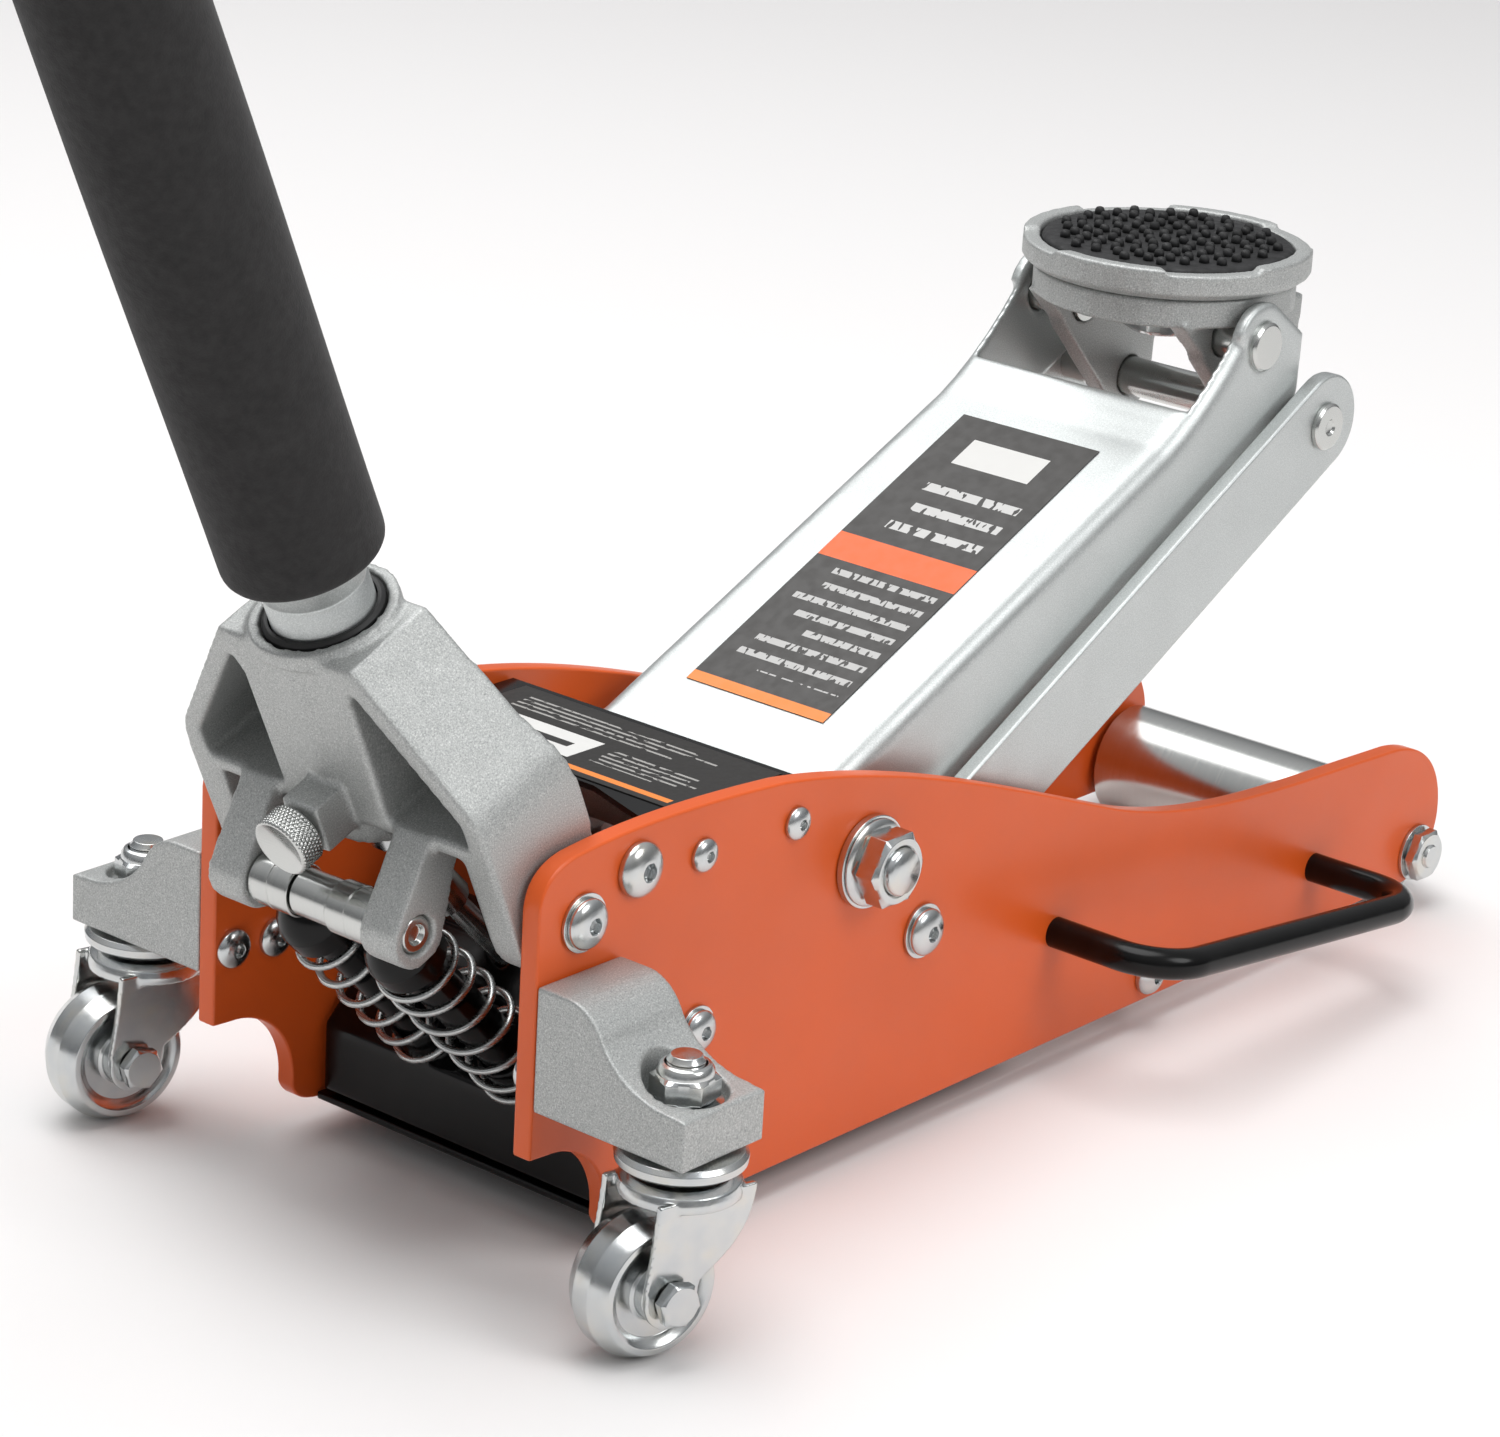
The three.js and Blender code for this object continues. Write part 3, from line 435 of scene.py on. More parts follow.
def finish(name, colour, **shader):
    """A new material, its node tree, its shader, and Object coordinates in millimetres."""
    material = bpy.data.materials.new(name)
    material.use_nodes = True
    material.diffuse_color = linear(colour)
    tree = material.node_tree
    surface = tree.nodes["Principled BSDF"]
    surface.inputs["Base Color"].default_value = linear(colour)
    for key, value in shader.items():
        surface.inputs[key.replace("_", " ")].default_value = value
    where = add(tree, "ShaderNodeTexCoord").outputs["Object"]
    scaled = add(tree, "ShaderNodeMapping", {"Vector": where, "Scale": (1 / MM,) * 3}, vector_type="POINT")
    return material, tree, surface, scaled.outputs["Vector"]


def grain(tree, where, size, detail=2.0, roughness=0.5):
    """Noise whose blotches are about size millimetres across."""
    return add(tree, "ShaderNodeTexNoise", {"Vector": where, "Scale": 1 / size, "Detail": detail,
                                            "Roughness": roughness}).outputs["Fac"]


def blend_colours(tree, surface, amount, stops):
    """Drives the base colour by a 0 to 1 amount through (position, sRGB colour) stops."""
    ramp = add(tree, "ShaderNodeValToRGB", {"Fac": amount})
    band = ramp.color_ramp
    while len(band.elements) < len(stops):
        band.elements.new(0.5)
    for element, (position, colour) in zip(band.elements, stops):
        element.position, element.color = position, linear(colour)
    tree.links.new(ramp.outputs["Color"], surface.inputs["Base Color"])


def vary(tree, surface, socket, amount, low, high, start=0.35, end=0.65):
    """Drives one shader value between low and high by an amount."""
    scaled = add(tree, "ShaderNodeMapRange", {"Value": amount, "From Min": start, "From Max": end,
                                              "To Min": low, "To Max": high})
    tree.links.new(scaled.outputs["Result"], surface.inputs[socket])


def raised(tree, surface, height, depth, strength=1.0, below=None):
    """Bump of a depth in millimetres."""
    inputs = {"Height": height, "Distance": depth * MM, "Strength": strength}
    if below is not None:
        inputs["Normal"] = below
    bump = add(tree, "ShaderNodeBump", inputs)
    tree.links.new(bump.outputs["Normal"], surface.inputs["Normal"])
    return bump.outputs["Normal"]


def powder_coat():
    """Orange polyester powder coat on steel: glossy, with the soft ripple of a baked coat."""
    colour = tuple(bpy.context.scene.jack_colours.paint)
    material, tree, surface, where = finish("orange_powder_coat", colour, Roughness=0.36, IOR=1.45,
                                            Coat_Weight=0.1, Coat_Roughness=0.15)
    dark = tuple(c * 0.98 for c in colour)
    light = tuple(min(1.0, c * 1.01) for c in colour)
    blend_colours(tree, surface, grain(tree, where, 60, 3), [(0.35, dark), (0.65, light)])
    vary(tree, surface, "Roughness", grain(tree, where, 25, 3), 0.33, 0.4)
    raised(tree, surface, grain(tree, where, 1.6, 2), 0.03, 0.22)
    return material


def shot_blasted_aluminium():
    """Die cast aluminium, shot blasted and lacquered: a matt grey with a bright sparkle of pits."""
    material, tree, surface, where = finish("shot_blasted_aluminium", "#b7b9b8", Metallic=0.6, Roughness=0.5)
    pits = grain(tree, where, 0.5, 3, 0.7)
    blend_colours(tree, surface, pits,
                  [(0.3, "#8f9190"), (0.45, "#adafae"), (0.56, "#babcba"), (0.72, "#dddfdd")])
    vary(tree, surface, "Roughness", grain(tree, where, 6, 3), 0.5, 0.54)
    raised(tree, surface, pits, 0.12, 0.5)
    return material


def silver_lacquer():
    """Silver metal-flake lacquer on formed metal: satin, with fine flake grains."""
    material, tree, surface, where = finish("silver_flake_lacquer", "#c6cac9", Metallic=0.7, Roughness=0.38,
                                            Coat_Weight=0.15, Coat_Roughness=0.3)
    flakes = grain(tree, where, 0.45, 2, 0.6)
    blend_colours(tree, surface, flakes, [(0.32, "#b9bdbc"), (0.5, "#c4c8c7"), (0.7, "#d6d9d8")])
    vary(tree, surface, "Roughness", grain(tree, where, 20, 3), 0.35, 0.43)
    raised(tree, surface, flakes, 0.03, 0.25)
    return material


def zinc_plate():
    """Bright zinc plate on steel fasteners: blue-white, faintly streaked and smudged."""
    material, tree, surface, where = finish("bright_zinc_plate", "#cfd2d2", Metallic=1.0, Roughness=0.24)
    smudge = grain(tree, where, 9, 3, 0.5)
    blend_colours(tree, surface, smudge, [(0.3, "#c4c8ca"), (0.55, "#cdcfce"), (0.75, "#d3d1ca")])
    vary(tree, surface, "Roughness", grain(tree, where, 4, 3), 0.18, 0.27)
    raised(tree, surface, grain(tree, where, 0.6, 2), 0.01, 0.15)
    return material


def ground_steel(name, along, colour="#cdcecb", low=0.18, high=0.23):
    """Turned and ground steel: a bright surface with faint rings round the piece, which are drawn
    coarser than real tool marks so that they show."""
    material, tree, surface, where = finish(name, colour, Metallic=1.0, Roughness=low)
    stretch = {"X": (1.6, 0.02, 0.02), "Y": (0.02, 1.6, 0.02), "Z": (0.02, 0.02, 1.6)}[along]
    rings = add(tree, "ShaderNodeMapping", {"Vector": where, "Scale": stretch}).outputs["Vector"]
    lines = grain(tree, rings, 0.8, 3, 0.6)
    blend_colours(tree, surface, lines, [(0.3, "#c5c7c5"), (0.7, colour)])
    vary(tree, surface, "Roughness", lines, low, high)
    return material


def black_enamel():
    """Black stoving enamel: deep gloss over slightly uneven metal."""
    material, tree, surface, where = finish("black_stoving_enamel", "#060606", Roughness=0.2, IOR=1.33)
    blend_colours(tree, surface, grain(tree, where, 12, 3), [(0.35, "#040404"), (0.65, "#090909")])
    vary(tree, surface, "Roughness", grain(tree, where, 9, 3), 0.17, 0.26)
    raised(tree, surface, grain(tree, where, 3, 2), 0.03, 0.2)
    return material


def closed_cell_foam():
    """Nitrile foam sleeve: matt charcoal with tiny closed cells that scatter light at grazing angles."""
    colour = tuple(bpy.context.scene.jack_colours.foam)
    material, tree, surface, where = finish("nitrile_foam", colour, Roughness=0.88, IOR=1.45,
                                            Sheen_Weight=0.1, Sheen_Roughness=0.5)
    cells = add(tree, "ShaderNodeTexVoronoi", {"Vector": where, "Scale": 1 / 0.7}).outputs["Distance"]
    blend_colours(tree, surface, grain(tree, where, 9, 4, 0.6),
                  [(0.3, tuple(c * 0.9 for c in colour)), (0.7, tuple(c * 1.12 for c in colour))])
    vary(tree, surface, "Roughness", grain(tree, where, 3, 3), 0.82, 0.95)
    soft = raised(tree, surface, grain(tree, where, 1.6, 3), 0.12, 0.5)
    raised(tree, surface, cells, 0.12, 0.45, below=soft)
    return material


def moulded_rubber():
    """Moulded nitrile rubber: near-black with a dry bloom and a spark-eroded mould grain."""
    material, tree, surface, where = finish("moulded_rubber", "#161617", Roughness=0.62, IOR=1.5)
    blend_colours(tree, surface, grain(tree, where, 8, 4), [(0.35, "#101011"), (0.7, "#232324")])
    vary(tree, surface, "Roughness", grain(tree, where, 3, 3), 0.5, 0.75)
    raised(tree, surface, grain(tree, where, 0.7, 3), 0.08, 0.5)
    return material


def moulded_plastic():
    """Injection moulded nylon: black, semi-matt, with a fine mould grain."""
    material, tree, surface, where = finish("moulded_nylon", "#151515", Roughness=0.5, IOR=1.53)
    blend_colours(tree, surface, grain(tree, where, 10, 3), [(0.35, "#101010"), (0.7, "#1e1e1e")])
    raised(tree, surface, grain(tree, where, 0.8, 3), 0.06, 0.5)
    return material


def printed_vinyl(name, ground, stripes):
    """A printed vinyl label: blocks of (from, to, left, right, hex) on its own UV map. Where the colour
    is a (count, hex) pair, the block is that many rows of broken bars, which hold no lettering."""
    material, tree, surface, where = finish(name, ground, Roughness=0.42, IOR=1.46)
    uv = add(tree, "ShaderNodeUVMap", uv_map="print").outputs["UV"]
    parts = add(tree, "ShaderNodeSeparateXYZ", {"Vector": uv})
    across, along = parts.outputs["X"], parts.outputs["Y"]

    def maths(operation, first, second=0.0):
        return add(tree, "ShaderNodeMath", {0: first, 1: second}, operation=operation).outputs[0]

    def within(value, low, high):
        return maths("MULTIPLY", maths("GREATER_THAN", value, low), maths("LESS_THAN", value, high))

    colour = add(tree, "ShaderNodeRGB").outputs[0]
    colour.default_value = linear(ground)
    for low, high, left, right, tone in stripes:
        mask = maths("MULTIPLY", within(along, low, high), within(across, left, right))
        if isinstance(tone, tuple):
            rows, tone = tone
            row = maths("MULTIPLY", along, rows)
            thin = within(maths("FRACT", row), 0.3, 0.68)
            number = add(tree, "ShaderNodeTexWhiteNoise", {"W": maths("FLOOR", row)},
                         noise_dimensions="1D").outputs["Value"]
            width = right - left
            reach = maths("ADD", maths("MULTIPLY", number, width * 0.35), left + width * 0.62)
            dashes = add(tree, "ShaderNodeTexNoise",
                         {"Vector": uv, "Scale": rows * 1.6, "Detail": 1.0}).outputs["Fac"]
            mask = maths("MULTIPLY", mask, maths("MULTIPLY", thin, maths("LESS_THAN", across, reach)))
            mask = maths("MULTIPLY", mask, maths("GREATER_THAN", dashes, 0.42))
        colour = add(tree, "ShaderNodeMixRGB",
                     {"Fac": mask, "Color1": colour, "Color2": linear(tone)}).outputs["Color"]
    tree.links.new(colour, surface.inputs["Base Color"])
    vary(tree, surface, "Roughness", grain(tree, where, 4, 3), 0.36, 0.5)
    raised(tree, surface, grain(tree, where, 1.5, 2), 0.02, 0.3)
    return material


FINISHES = {}


def finishes():
    """Every finish by name, made once."""
    if not FINISHES:
        arm_print = [(0.56, 0.78, 0.1, 0.9, (14, "#c9c8c6")), (0.46, 0.545, 0.0, 1.0, "#ef6a35"),
                     (0.08, 0.44, 0.06, 0.94, (20, "#bdbcba")), (0.0, 0.03, 0.0, 1.0, "#f28a3c"),
                     (0.84, 0.93, 0.22, 0.78, "#d8d7d4")]
        cover_print = [(0.66, 0.9, 0.08, 0.92, (17, "#a3a19e")), (0.2, 0.56, 0.06, 0.5, "#deddda"),
                       (0.28, 0.48, 0.12, 0.2, "#2b2a29"), (0.34, 0.42, 0.24, 0.44, "#2b2a29"),
                       (0.26, 0.52, 0.56, 0.94, (17, "#a3a19e")), (0.06, 0.12, 0.3, 0.94, "#f28a3c")]
        FINISHES.update(
            paint=powder_coat(), cast=shot_blasted_aluminium(), silver=silver_lacquer(), zinc=zinc_plate(),
            steel_y=ground_steel("ground_steel_across", "Y"), steel_z=ground_steel("ground_steel_upright", "Z"),
            steel_x=ground_steel("ground_steel_along", "X"),
            wire=ground_steel("drawn_spring_wire", "Z", "#a9abab", 0.2, 0.34),
            enamel=black_enamel(), foam=closed_cell_foam(), rubber=moulded_rubber(), nylon=moulded_plastic(),
            arm_label=printed_vinyl("arm_label_vinyl", "#3b3937", arm_print),
            cover_label=printed_vinyl("cover_label_vinyl", "#262422", cover_print))
    return FINISHES


# ---- chassis --------------------------------------------------------------------------------
def plate_outline():
    """The side plate's outline in (x, z) from its rear edge: a rear deck, a long S-shaped fall to the
    nose as Bezier curves, and the castor arch as an arc."""
    low, high = box("side_plate_left")
    length, bottom, top = high[0] - low[0], low[2], high[2] - 0.6
    rear, nose = bottom + 38, bottom + 54.5
    arch_x, arch_z, arch_r = 8, bottom + 10.5, 27
    foot = arch_x + arch_r
    end = math.degrees(math.asin((rear - arch_z) / (arch_r + 0.5)))
    parts = [
        curve((0, rear), (0, top - 16)), curve((0, top - 16), (1, top - 4), (15, top - 1.5)),
        curve((15, top - 1.5), (50, top + 3), (length * 0.22, top - 2)),
        curve((length * 0.22, top - 2), (length * 0.34, top - 10), (length * 0.46, top - 34),
              (length * 0.57, top - 54), count=40),
        curve((length * 0.57, top - 54), (length * 0.66, top - 70), (length * 0.75, nose + 5),
              (length * 0.87, nose + 2.5), count=40),
        curve((length * 0.93, nose + 1), (length - 8, nose - 2), (length - 2, nose - 22)),
        curve((length - 2, nose - 22), (length + 2, nose - 38), (length - 8, bottom + 8)),
        curve((length - 8, bottom + 8), (length - 13, bottom), (length - 22, bottom)),
        curve((foot + 14, bottom), (foot + 2, bottom + 0.5), (foot, arch_z - 3)),
        arc((arch_x, arch_z), arch_r, -3, end, 24),
    ]
    outline = np.concatenate(parts)
    step = np.linalg.norm(outline - np.roll(outline, 1, axis=0), axis=1)
    return outline[step > 0.3] + vec(REAR, 0)


def chassis():
    """Side plates, castor blocks, the pan and the cover plate."""
    f = finishes()
    outline = plate_outline()
    for side, sign in SIDES:
        span = sorted((sign * INNER, sign * OUTER))
        solid(f"plate_{side}", prism(outline, *span), "root", f["paint"],
              [f"side_plate_{side}"], edge=0.9)
        cast(f"castor_block_{side}", cad_shell(f"caster_block_{side}"), "root", f["cast"],
             [f"caster_block_{side}"], grain=0.8, rounds=4)
        for behind, z in ((7.4, 73.2), (25.4, 72.1)):
            inside = place((REAR + behind, sign * INNER, z), X, -sign * Y)
            plated(f"block_bolt_{side}_{int(behind)}", button_head(6.5, 4), inside, edge=0.15)
    solid("pan", cad_shell("base_pan"), "root", f["enamel"], ["base_pan"], edge=0.6)
    solid("cover", cad_shell("cover_plate"), "root", f["enamel"], ["cover_plate"], edge=0.6)


def carry_handles():
    """A bent rod on each side: straight legs, arcs at the corners and a straight grip."""
    f = finishes()
    for side, sign in SIDES:
        low, high = box(f"carry_handle_{side}")
        rod_r, bend, root = 5.5, 19.0, 6
        reach = max(abs(low[1]), abs(high[1])) - rod_r - OUTER
        rear, front = vec(low[0] + rod_r, high[2] - rod_r), vec(high[0] - rod_r, low[2] + rod_r)
        run = np.linalg.norm(front - rear)
        flat = np.concatenate([
            line((0, -root), (0, reach - bend), 6), arc((bend, reach - bend), bend, 180, 90, 14)[1:],
            line((bend, reach), (run - bend, reach), 12)[1:],
            arc((run - bend, reach - bend), bend, 90, 0, 14)[1:],
            line((run, reach - bend), (run, -root), 6)[1:]])
        along = (front - rear) / run
        path = np.stack([rear[0] + flat[:, 0] * along[0], sign * (OUTER + flat[:, 1]),
                         rear[1] + flat[:, 0] * along[1]], -1)
        solid(f"carry_rod_{side}", swept(path, rod_r - 0.2, 28), "root", f["enamel"],
              [f"carry_handle_{side}"], edge=0.4)


def side_bolts():
    """Button-head bolts with washers where the socket, links and pump body hang, and the cover's screws."""
    socket, link = HANDLE[0], joint_at("link_swing_left")
    pump = sum(box("pump_bolt_left")) / 2
    for side, sign in SIDES:
        for node, at, radius, height, shank_r in (("socket_bolt", socket, 9.2, 5.6, 7.9),
                                                  ("link_bolt", link, 9.2, 5.6, 6.9),
                                                  ("pump_bolt", pump, 7.8, 5.2, 4.9)):
            where = outward(sign, at[0], at[2])
            inner_end = min(abs(corner[1]) for corner in box(f"{node}_{side}"))
            shank = moved(rod(shank_r, 0, OUTER - inner_end + 1, 40), inner_end - OUTER)
            head = moved(button_head(radius * 0.86, height - 1.3), 1.3)
            plated(f"{node}_head_{side}", joined(shank, head), where, [f"{node}_{side}"])
            plated(f"{node}_washer_{side}", moved(washer(radius, radius * 0.5, 1.2), 0.1), where)
        for number, (x, z) in enumerate(((71.6, 126.8), (115, 125.9))):
            where = outward(sign, REAR + x, z)
            plated(f"cover_screw_{side}_{number}", button_head(5.4, 3.4), where, edge=0.15)


def cross_rods():
    """The rods between the plates with a head on each end, and the front roller's axle with its nuts."""
    steel = finishes()["steel_y"]
    for name, node, head, rod_r in (("stop_rod", "stop_rod", 8.8, 4.5), ("tie_rod", "front_tie_rod", 6.8, 5.0)):
        centre = sum(box(node)) / 2
        solid(name, rod(rod_r, -OUTER, OUTER, 40), "root", steel, [node], edge=0.2,
              where=along_y(centre))
        for side, sign in SIDES:
            plated(f"{name}_head_{side}", button_head(head, 5.4), outward(sign, centre[0], centre[2]))
    roller = joint_at("roller_spin")
    plated("nose_axle", rod(6.9, -OUTER - 0.5, OUTER + 0.5, 48), along_y(roller), ["front_axle"])
    for side, sign in SIDES:
        where = outward(sign, roller[0], roller[2])
        plated(f"nose_washer_{side}", moved(washer(10.6, 5, 1.4), 0.1), where)
        nut = joined(moved(hex_nut(17.5, 5.4), 1.5), moved(threads(5.2, 0, 3.0, 1.2), 5))
        plated(f"nose_nut_{side}", nut, where, edge=0.15)


def arm_bolt():
    """The lift arm's pivot bolt: a shank across the plates, its head on the left and its flange nut
    on the right."""
    right, left = (outward(sign, PIVOT[0], PIVOT[2]) for sign in (-1, 1))
    solid("arm_bolt_shank", rod(7.9, -OUTER - 1, OUTER + 1, 56), "root", finishes()["steel_y"],
          ["arm_bolt"], edge=0.3, where=along_y(PIVOT))
    stud = turned([(0, 0.6), (7.8, 0.6), (7.8, 14.6), (6.9, 15.8), (0, 15.8)], 56)
    plated("arm_bolt_end", stud, right, edge=0.0)
    plated("arm_washer_right", moved(washer(15.3, 8.2, 2.6), 0.2), right, ["arm_nut"], edge=0.4)
    flange = turned([(8.0, 2.9), (14.4, 2.9), (14.2, 3.6), (12.4, 4.8), (8.0, 5), (8.0, 2.9)], 64)
    plated("arm_flange_nut", joined(flange, moved(hex_nut(22.6, 9.2, 8.0), 4.5)), right, edge=0.25)
    plated("arm_washer_left", moved(washer(15.3, 7, 2.6), 0.2), left, edge=0.4)
    plated("arm_bolt_head", moved(hex_nut(23, 7.8), 2.9), left, edge=0.25)


def fasteners():
    """Bolts, nuts, washers and rods that hold the chassis."""
    side_bolts()
    cross_rods()
    arm_bolt()


# ---- rolling pieces -------------------------------------------------------------------------
def castors():
    """Swivel castors: stem and race fixed to the block, and a pressed fork that carries the wheel."""
    f = finishes()
    for side, _ in SIDES:
        stem = joint_at(f"castor_swivel_{side}") * vec(1, 1, 0)
        wheel = joint_at(f"wheel_spin_{side}")
        axle = unit(JOINTS[f"wheel_spin_{side}"]["axis"])
        radius = wheel[2]
        upright = place(stem, np.cross(axle, Z), Z)
        trail = taken(wheel, upright)[0]
        bottom = box(f"caster_block_{side}")[0][2]
        cup = turned([(0, bottom - 8.4), (11, bottom - 8.4), (17, bottom - 7.4), (19.6, bottom - 5.6),
                      (19.9, bottom - 3.2), (18.6, bottom - 1.6), (14, bottom - 0.9), (13, bottom - 0.4),
                      (0, bottom - 0.4)], 80)
        stem_top = 92
        shank = threads(5.9, bottom - 1, stem_top, 1.2)
        plated(f"castor_race_{side}", joined(cup, shank), upright, [f"caster_stem_{side}"], edge=0.25)
        nut_low, nut_high = (corner[2] for corner in box(f"caster_nut_{side}"))
        plated(f"castor_washer_{side}", moved(washer(11.8, 6.1, 1.4), nut_low), upright)
        collar = turned([(6.1, nut_high - 0.5), (8.6, nut_high - 0.5), (8.5, nut_high + 1.2),
                         (7.6, nut_high + 2.6), (6.4, nut_high + 3.1), (6.1, nut_high - 0.5)], 48)
        nut = moved(hex_nut(18.4, nut_high - nut_low - 1.7, 6.0), nut_low + 1.6, 20)
        plated(f"castor_nut_{side}", joined(nut, collar), upright, [f"caster_nut_{side}"])

        leg_in, leg_out = 12.3, 14.5
        dome = turned([(0, 50.2), (15.2, 50.2), (18.7, 49.4), (18.9, 51.6), (18.2, 54), (15.5, 55.4),
                       (0, 55.5)], 64)
        outline = np.concatenate([
            curve((-17.5, 53), (-18.6, 40), (trail - 9.4, radius + 4)),
            arc((trail, radius), 9.2, 165, 345, 20),
            curve((trail + 10, radius + 4), (8, 33), (16, 38), (17.5, 53))])
        legs = [prism(outline, *sorted((s * leg_in, s * leg_out))) for s in (-1, 1)]
        cast(f"castor_fork_{side}", joined(dome, *legs), f"castor_{side}", f["zinc"],
             [f"caster_fork_{side}"], grain=0.45, rounds=3, where=upright)
        across = place(wheel, np.cross(axle, Z), axle)
        bolt = rod(3.9, -leg_out - 2.4, leg_out + 2.4, 32)
        head = moved(hex_nut(12.6, 4.6), -leg_out - 5.2, 12)
        nut = moved(hex_nut(12.6, 4.8), leg_out + 0.4, 20)
        end = moved(threads(3.8, 0, 2.4, 1.1), leg_out + 3.2)
        plated(f"castor_axle_{side}", joined(bolt, head, nut, end), across, [f"wheel_axle_{side}"], edge=0.15,
               body=f"castor_{side}")
        r, w = radius, 9.9  # w is half the wheel's width
        rim = [(4.4, -w - 1.4), (7.8, -w - 1.4), (8.2, -w - 1.0), (8.4, -w + 2.4), (9.4, -w + 3.2),
               (r - 8, -w + 3.0), (r - 6.4, -w + 1.0), (r - 5, -w + 0.2), (r - 3.2, -w + 0.4),
               (r - 2.2, -w + 2.0)]
        crown = [(r - 0.5, -4.2), (r - 0.05, -3.6), (r - 0.05, 3.6), (r - 0.5, 4.2)]
        profile = rim + crown + [(p, -h) for p, h in rim[::-1]] + [rim[0]]
        solid(f"castor_wheel_{side}", turned(profile, 96), f"wheel_{side}", f["zinc"],
              [f"caster_wheel_{side}"], edge=0.25, where=across)


def front_roller():
    """The long roller: a ground tube with chamfered ends and a bush at each end."""
    f = finishes()
    centre = joint_at("roller_spin")
    low, high = box("front_roller")
    half, radius = high[1], (high[2] - low[2]) / 2
    profile = [(7.3, -half), (12, -half), (12.4, -half + 2.2), (radius - 5.5, -half + 2.2),
               (radius - 5.1, -half), (radius - 1, -half), (radius, -half + 1)]
    profile = profile + [(r, -h) for r, h in profile[::-1]] + [profile[0]]
    solid("nose_roller", turned(profile, 128), "front_wheel", f["steel_y"], ["front_roller"],
          edge=0.2, where=along_y(centre))


# ---- hydraulic unit -------------------------------------------------------------------------
def hydraulics():
    """Pump body, ram, release valve, plungers and their springs."""
    f = finishes()
    sizes = bpy.context.scene.jack_sizes
    cast("pump_casting", cad_shell("pump_body"), "root", f["enamel"], ["pump_body"],
         grain=1.1, rounds=4)
    low, high = box("ram")
    where = place((0, 0, (low[2] + high[2]) / 2), Y, X)
    radius = (high[2] - low[2]) / 2 - 0.05
    solid("ram_rod", rod(radius, low[0], high[0], 64), "ram", f["steel_x"], ["ram"],
          edge=0.8, where=where)
    plated("valve_stem", cad_shell("release_valve"), None, ["release_valve"], edge=0.4, body="valve")
    # Distances down a plunger's axis from the roller pin: the dome's top, the cap's underside with the
    # spring's upper seat, and the pump body's lower seat. The plunger runs on into its bore.
    top, cap_end, seat, bore_end = 11.1, 27.1, 98.0, 107.8
    spread, outside = 18.5, 13.5  # each plunger's distance from the middle plane, and its spring's radius
    for side, sign in SIDES:
        axis = place(PUMP_PIN + sign * spread * Y, Y, PLUNGE)
        cap = [(0, top), (3.4, top), (7.2, top + 1.5), (10.4, top + 4.6), (11.8, top + 8.2), (11.9, top + 9),
               (11.9, cap_end - 0.5), (9.2, cap_end - 0.3), (7.4, cap_end + 0.3), (7.4, bore_end),
               (0, bore_end)]
        solid(f"plunger_{side}", turned(cap, 72), f"plunger_{side}", f["enamel"],
              [f"pump_plunger_{side}"], edge=0.4, where=axis)
        ring_r = outside - sizes.wire / 2
        turns, start, end = sizes.turns, cap_end + sizes.wire / 2, seat - sizes.wire / 2
        t = np.linspace(0, 1, int(turns * 40))
        # The wire rises slowly over the last turn at each end, as a closed coil does.
        closing = np.clip(np.minimum(t, 1 - t) * turns / 1.1, 0, 1) ** 1.4
        rise = np.cumsum(np.append(0, (closing[1:] + closing[:-1]) / 2 + 0.16))
        height = start + (end - start) * rise / rise[-1]
        angle = 2 * math.pi * turns * t * sign
        helix = np.stack([ring_r * np.cos(angle), ring_r * np.sin(angle), height], -1)
        spring = solid(f"spring_{side}", swept(helix, sizes.wire / 2, 12), None, f["wire"],
                       [f"pump_spring_{side}"], edge=0.0, where=axis)
        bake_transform(spring)


# ---- handle ---------------------------------------------------------------------------------
def knurled(depth, count, pitch):
    """Diamond knurl: two crossed families of ridges, each a triangle wave of angle plus height."""
    def shape(angle, radius, height):
        wave = [np.abs(((count * angle / (2 * math.pi) + s * height / pitch) % 1) - 0.5) for s in (-1, 1)]
        rim = radius > radius.max() - 0.05
        return radius - np.where(rim, depth * np.maximum(*wave) * 2, 0)
    return shape


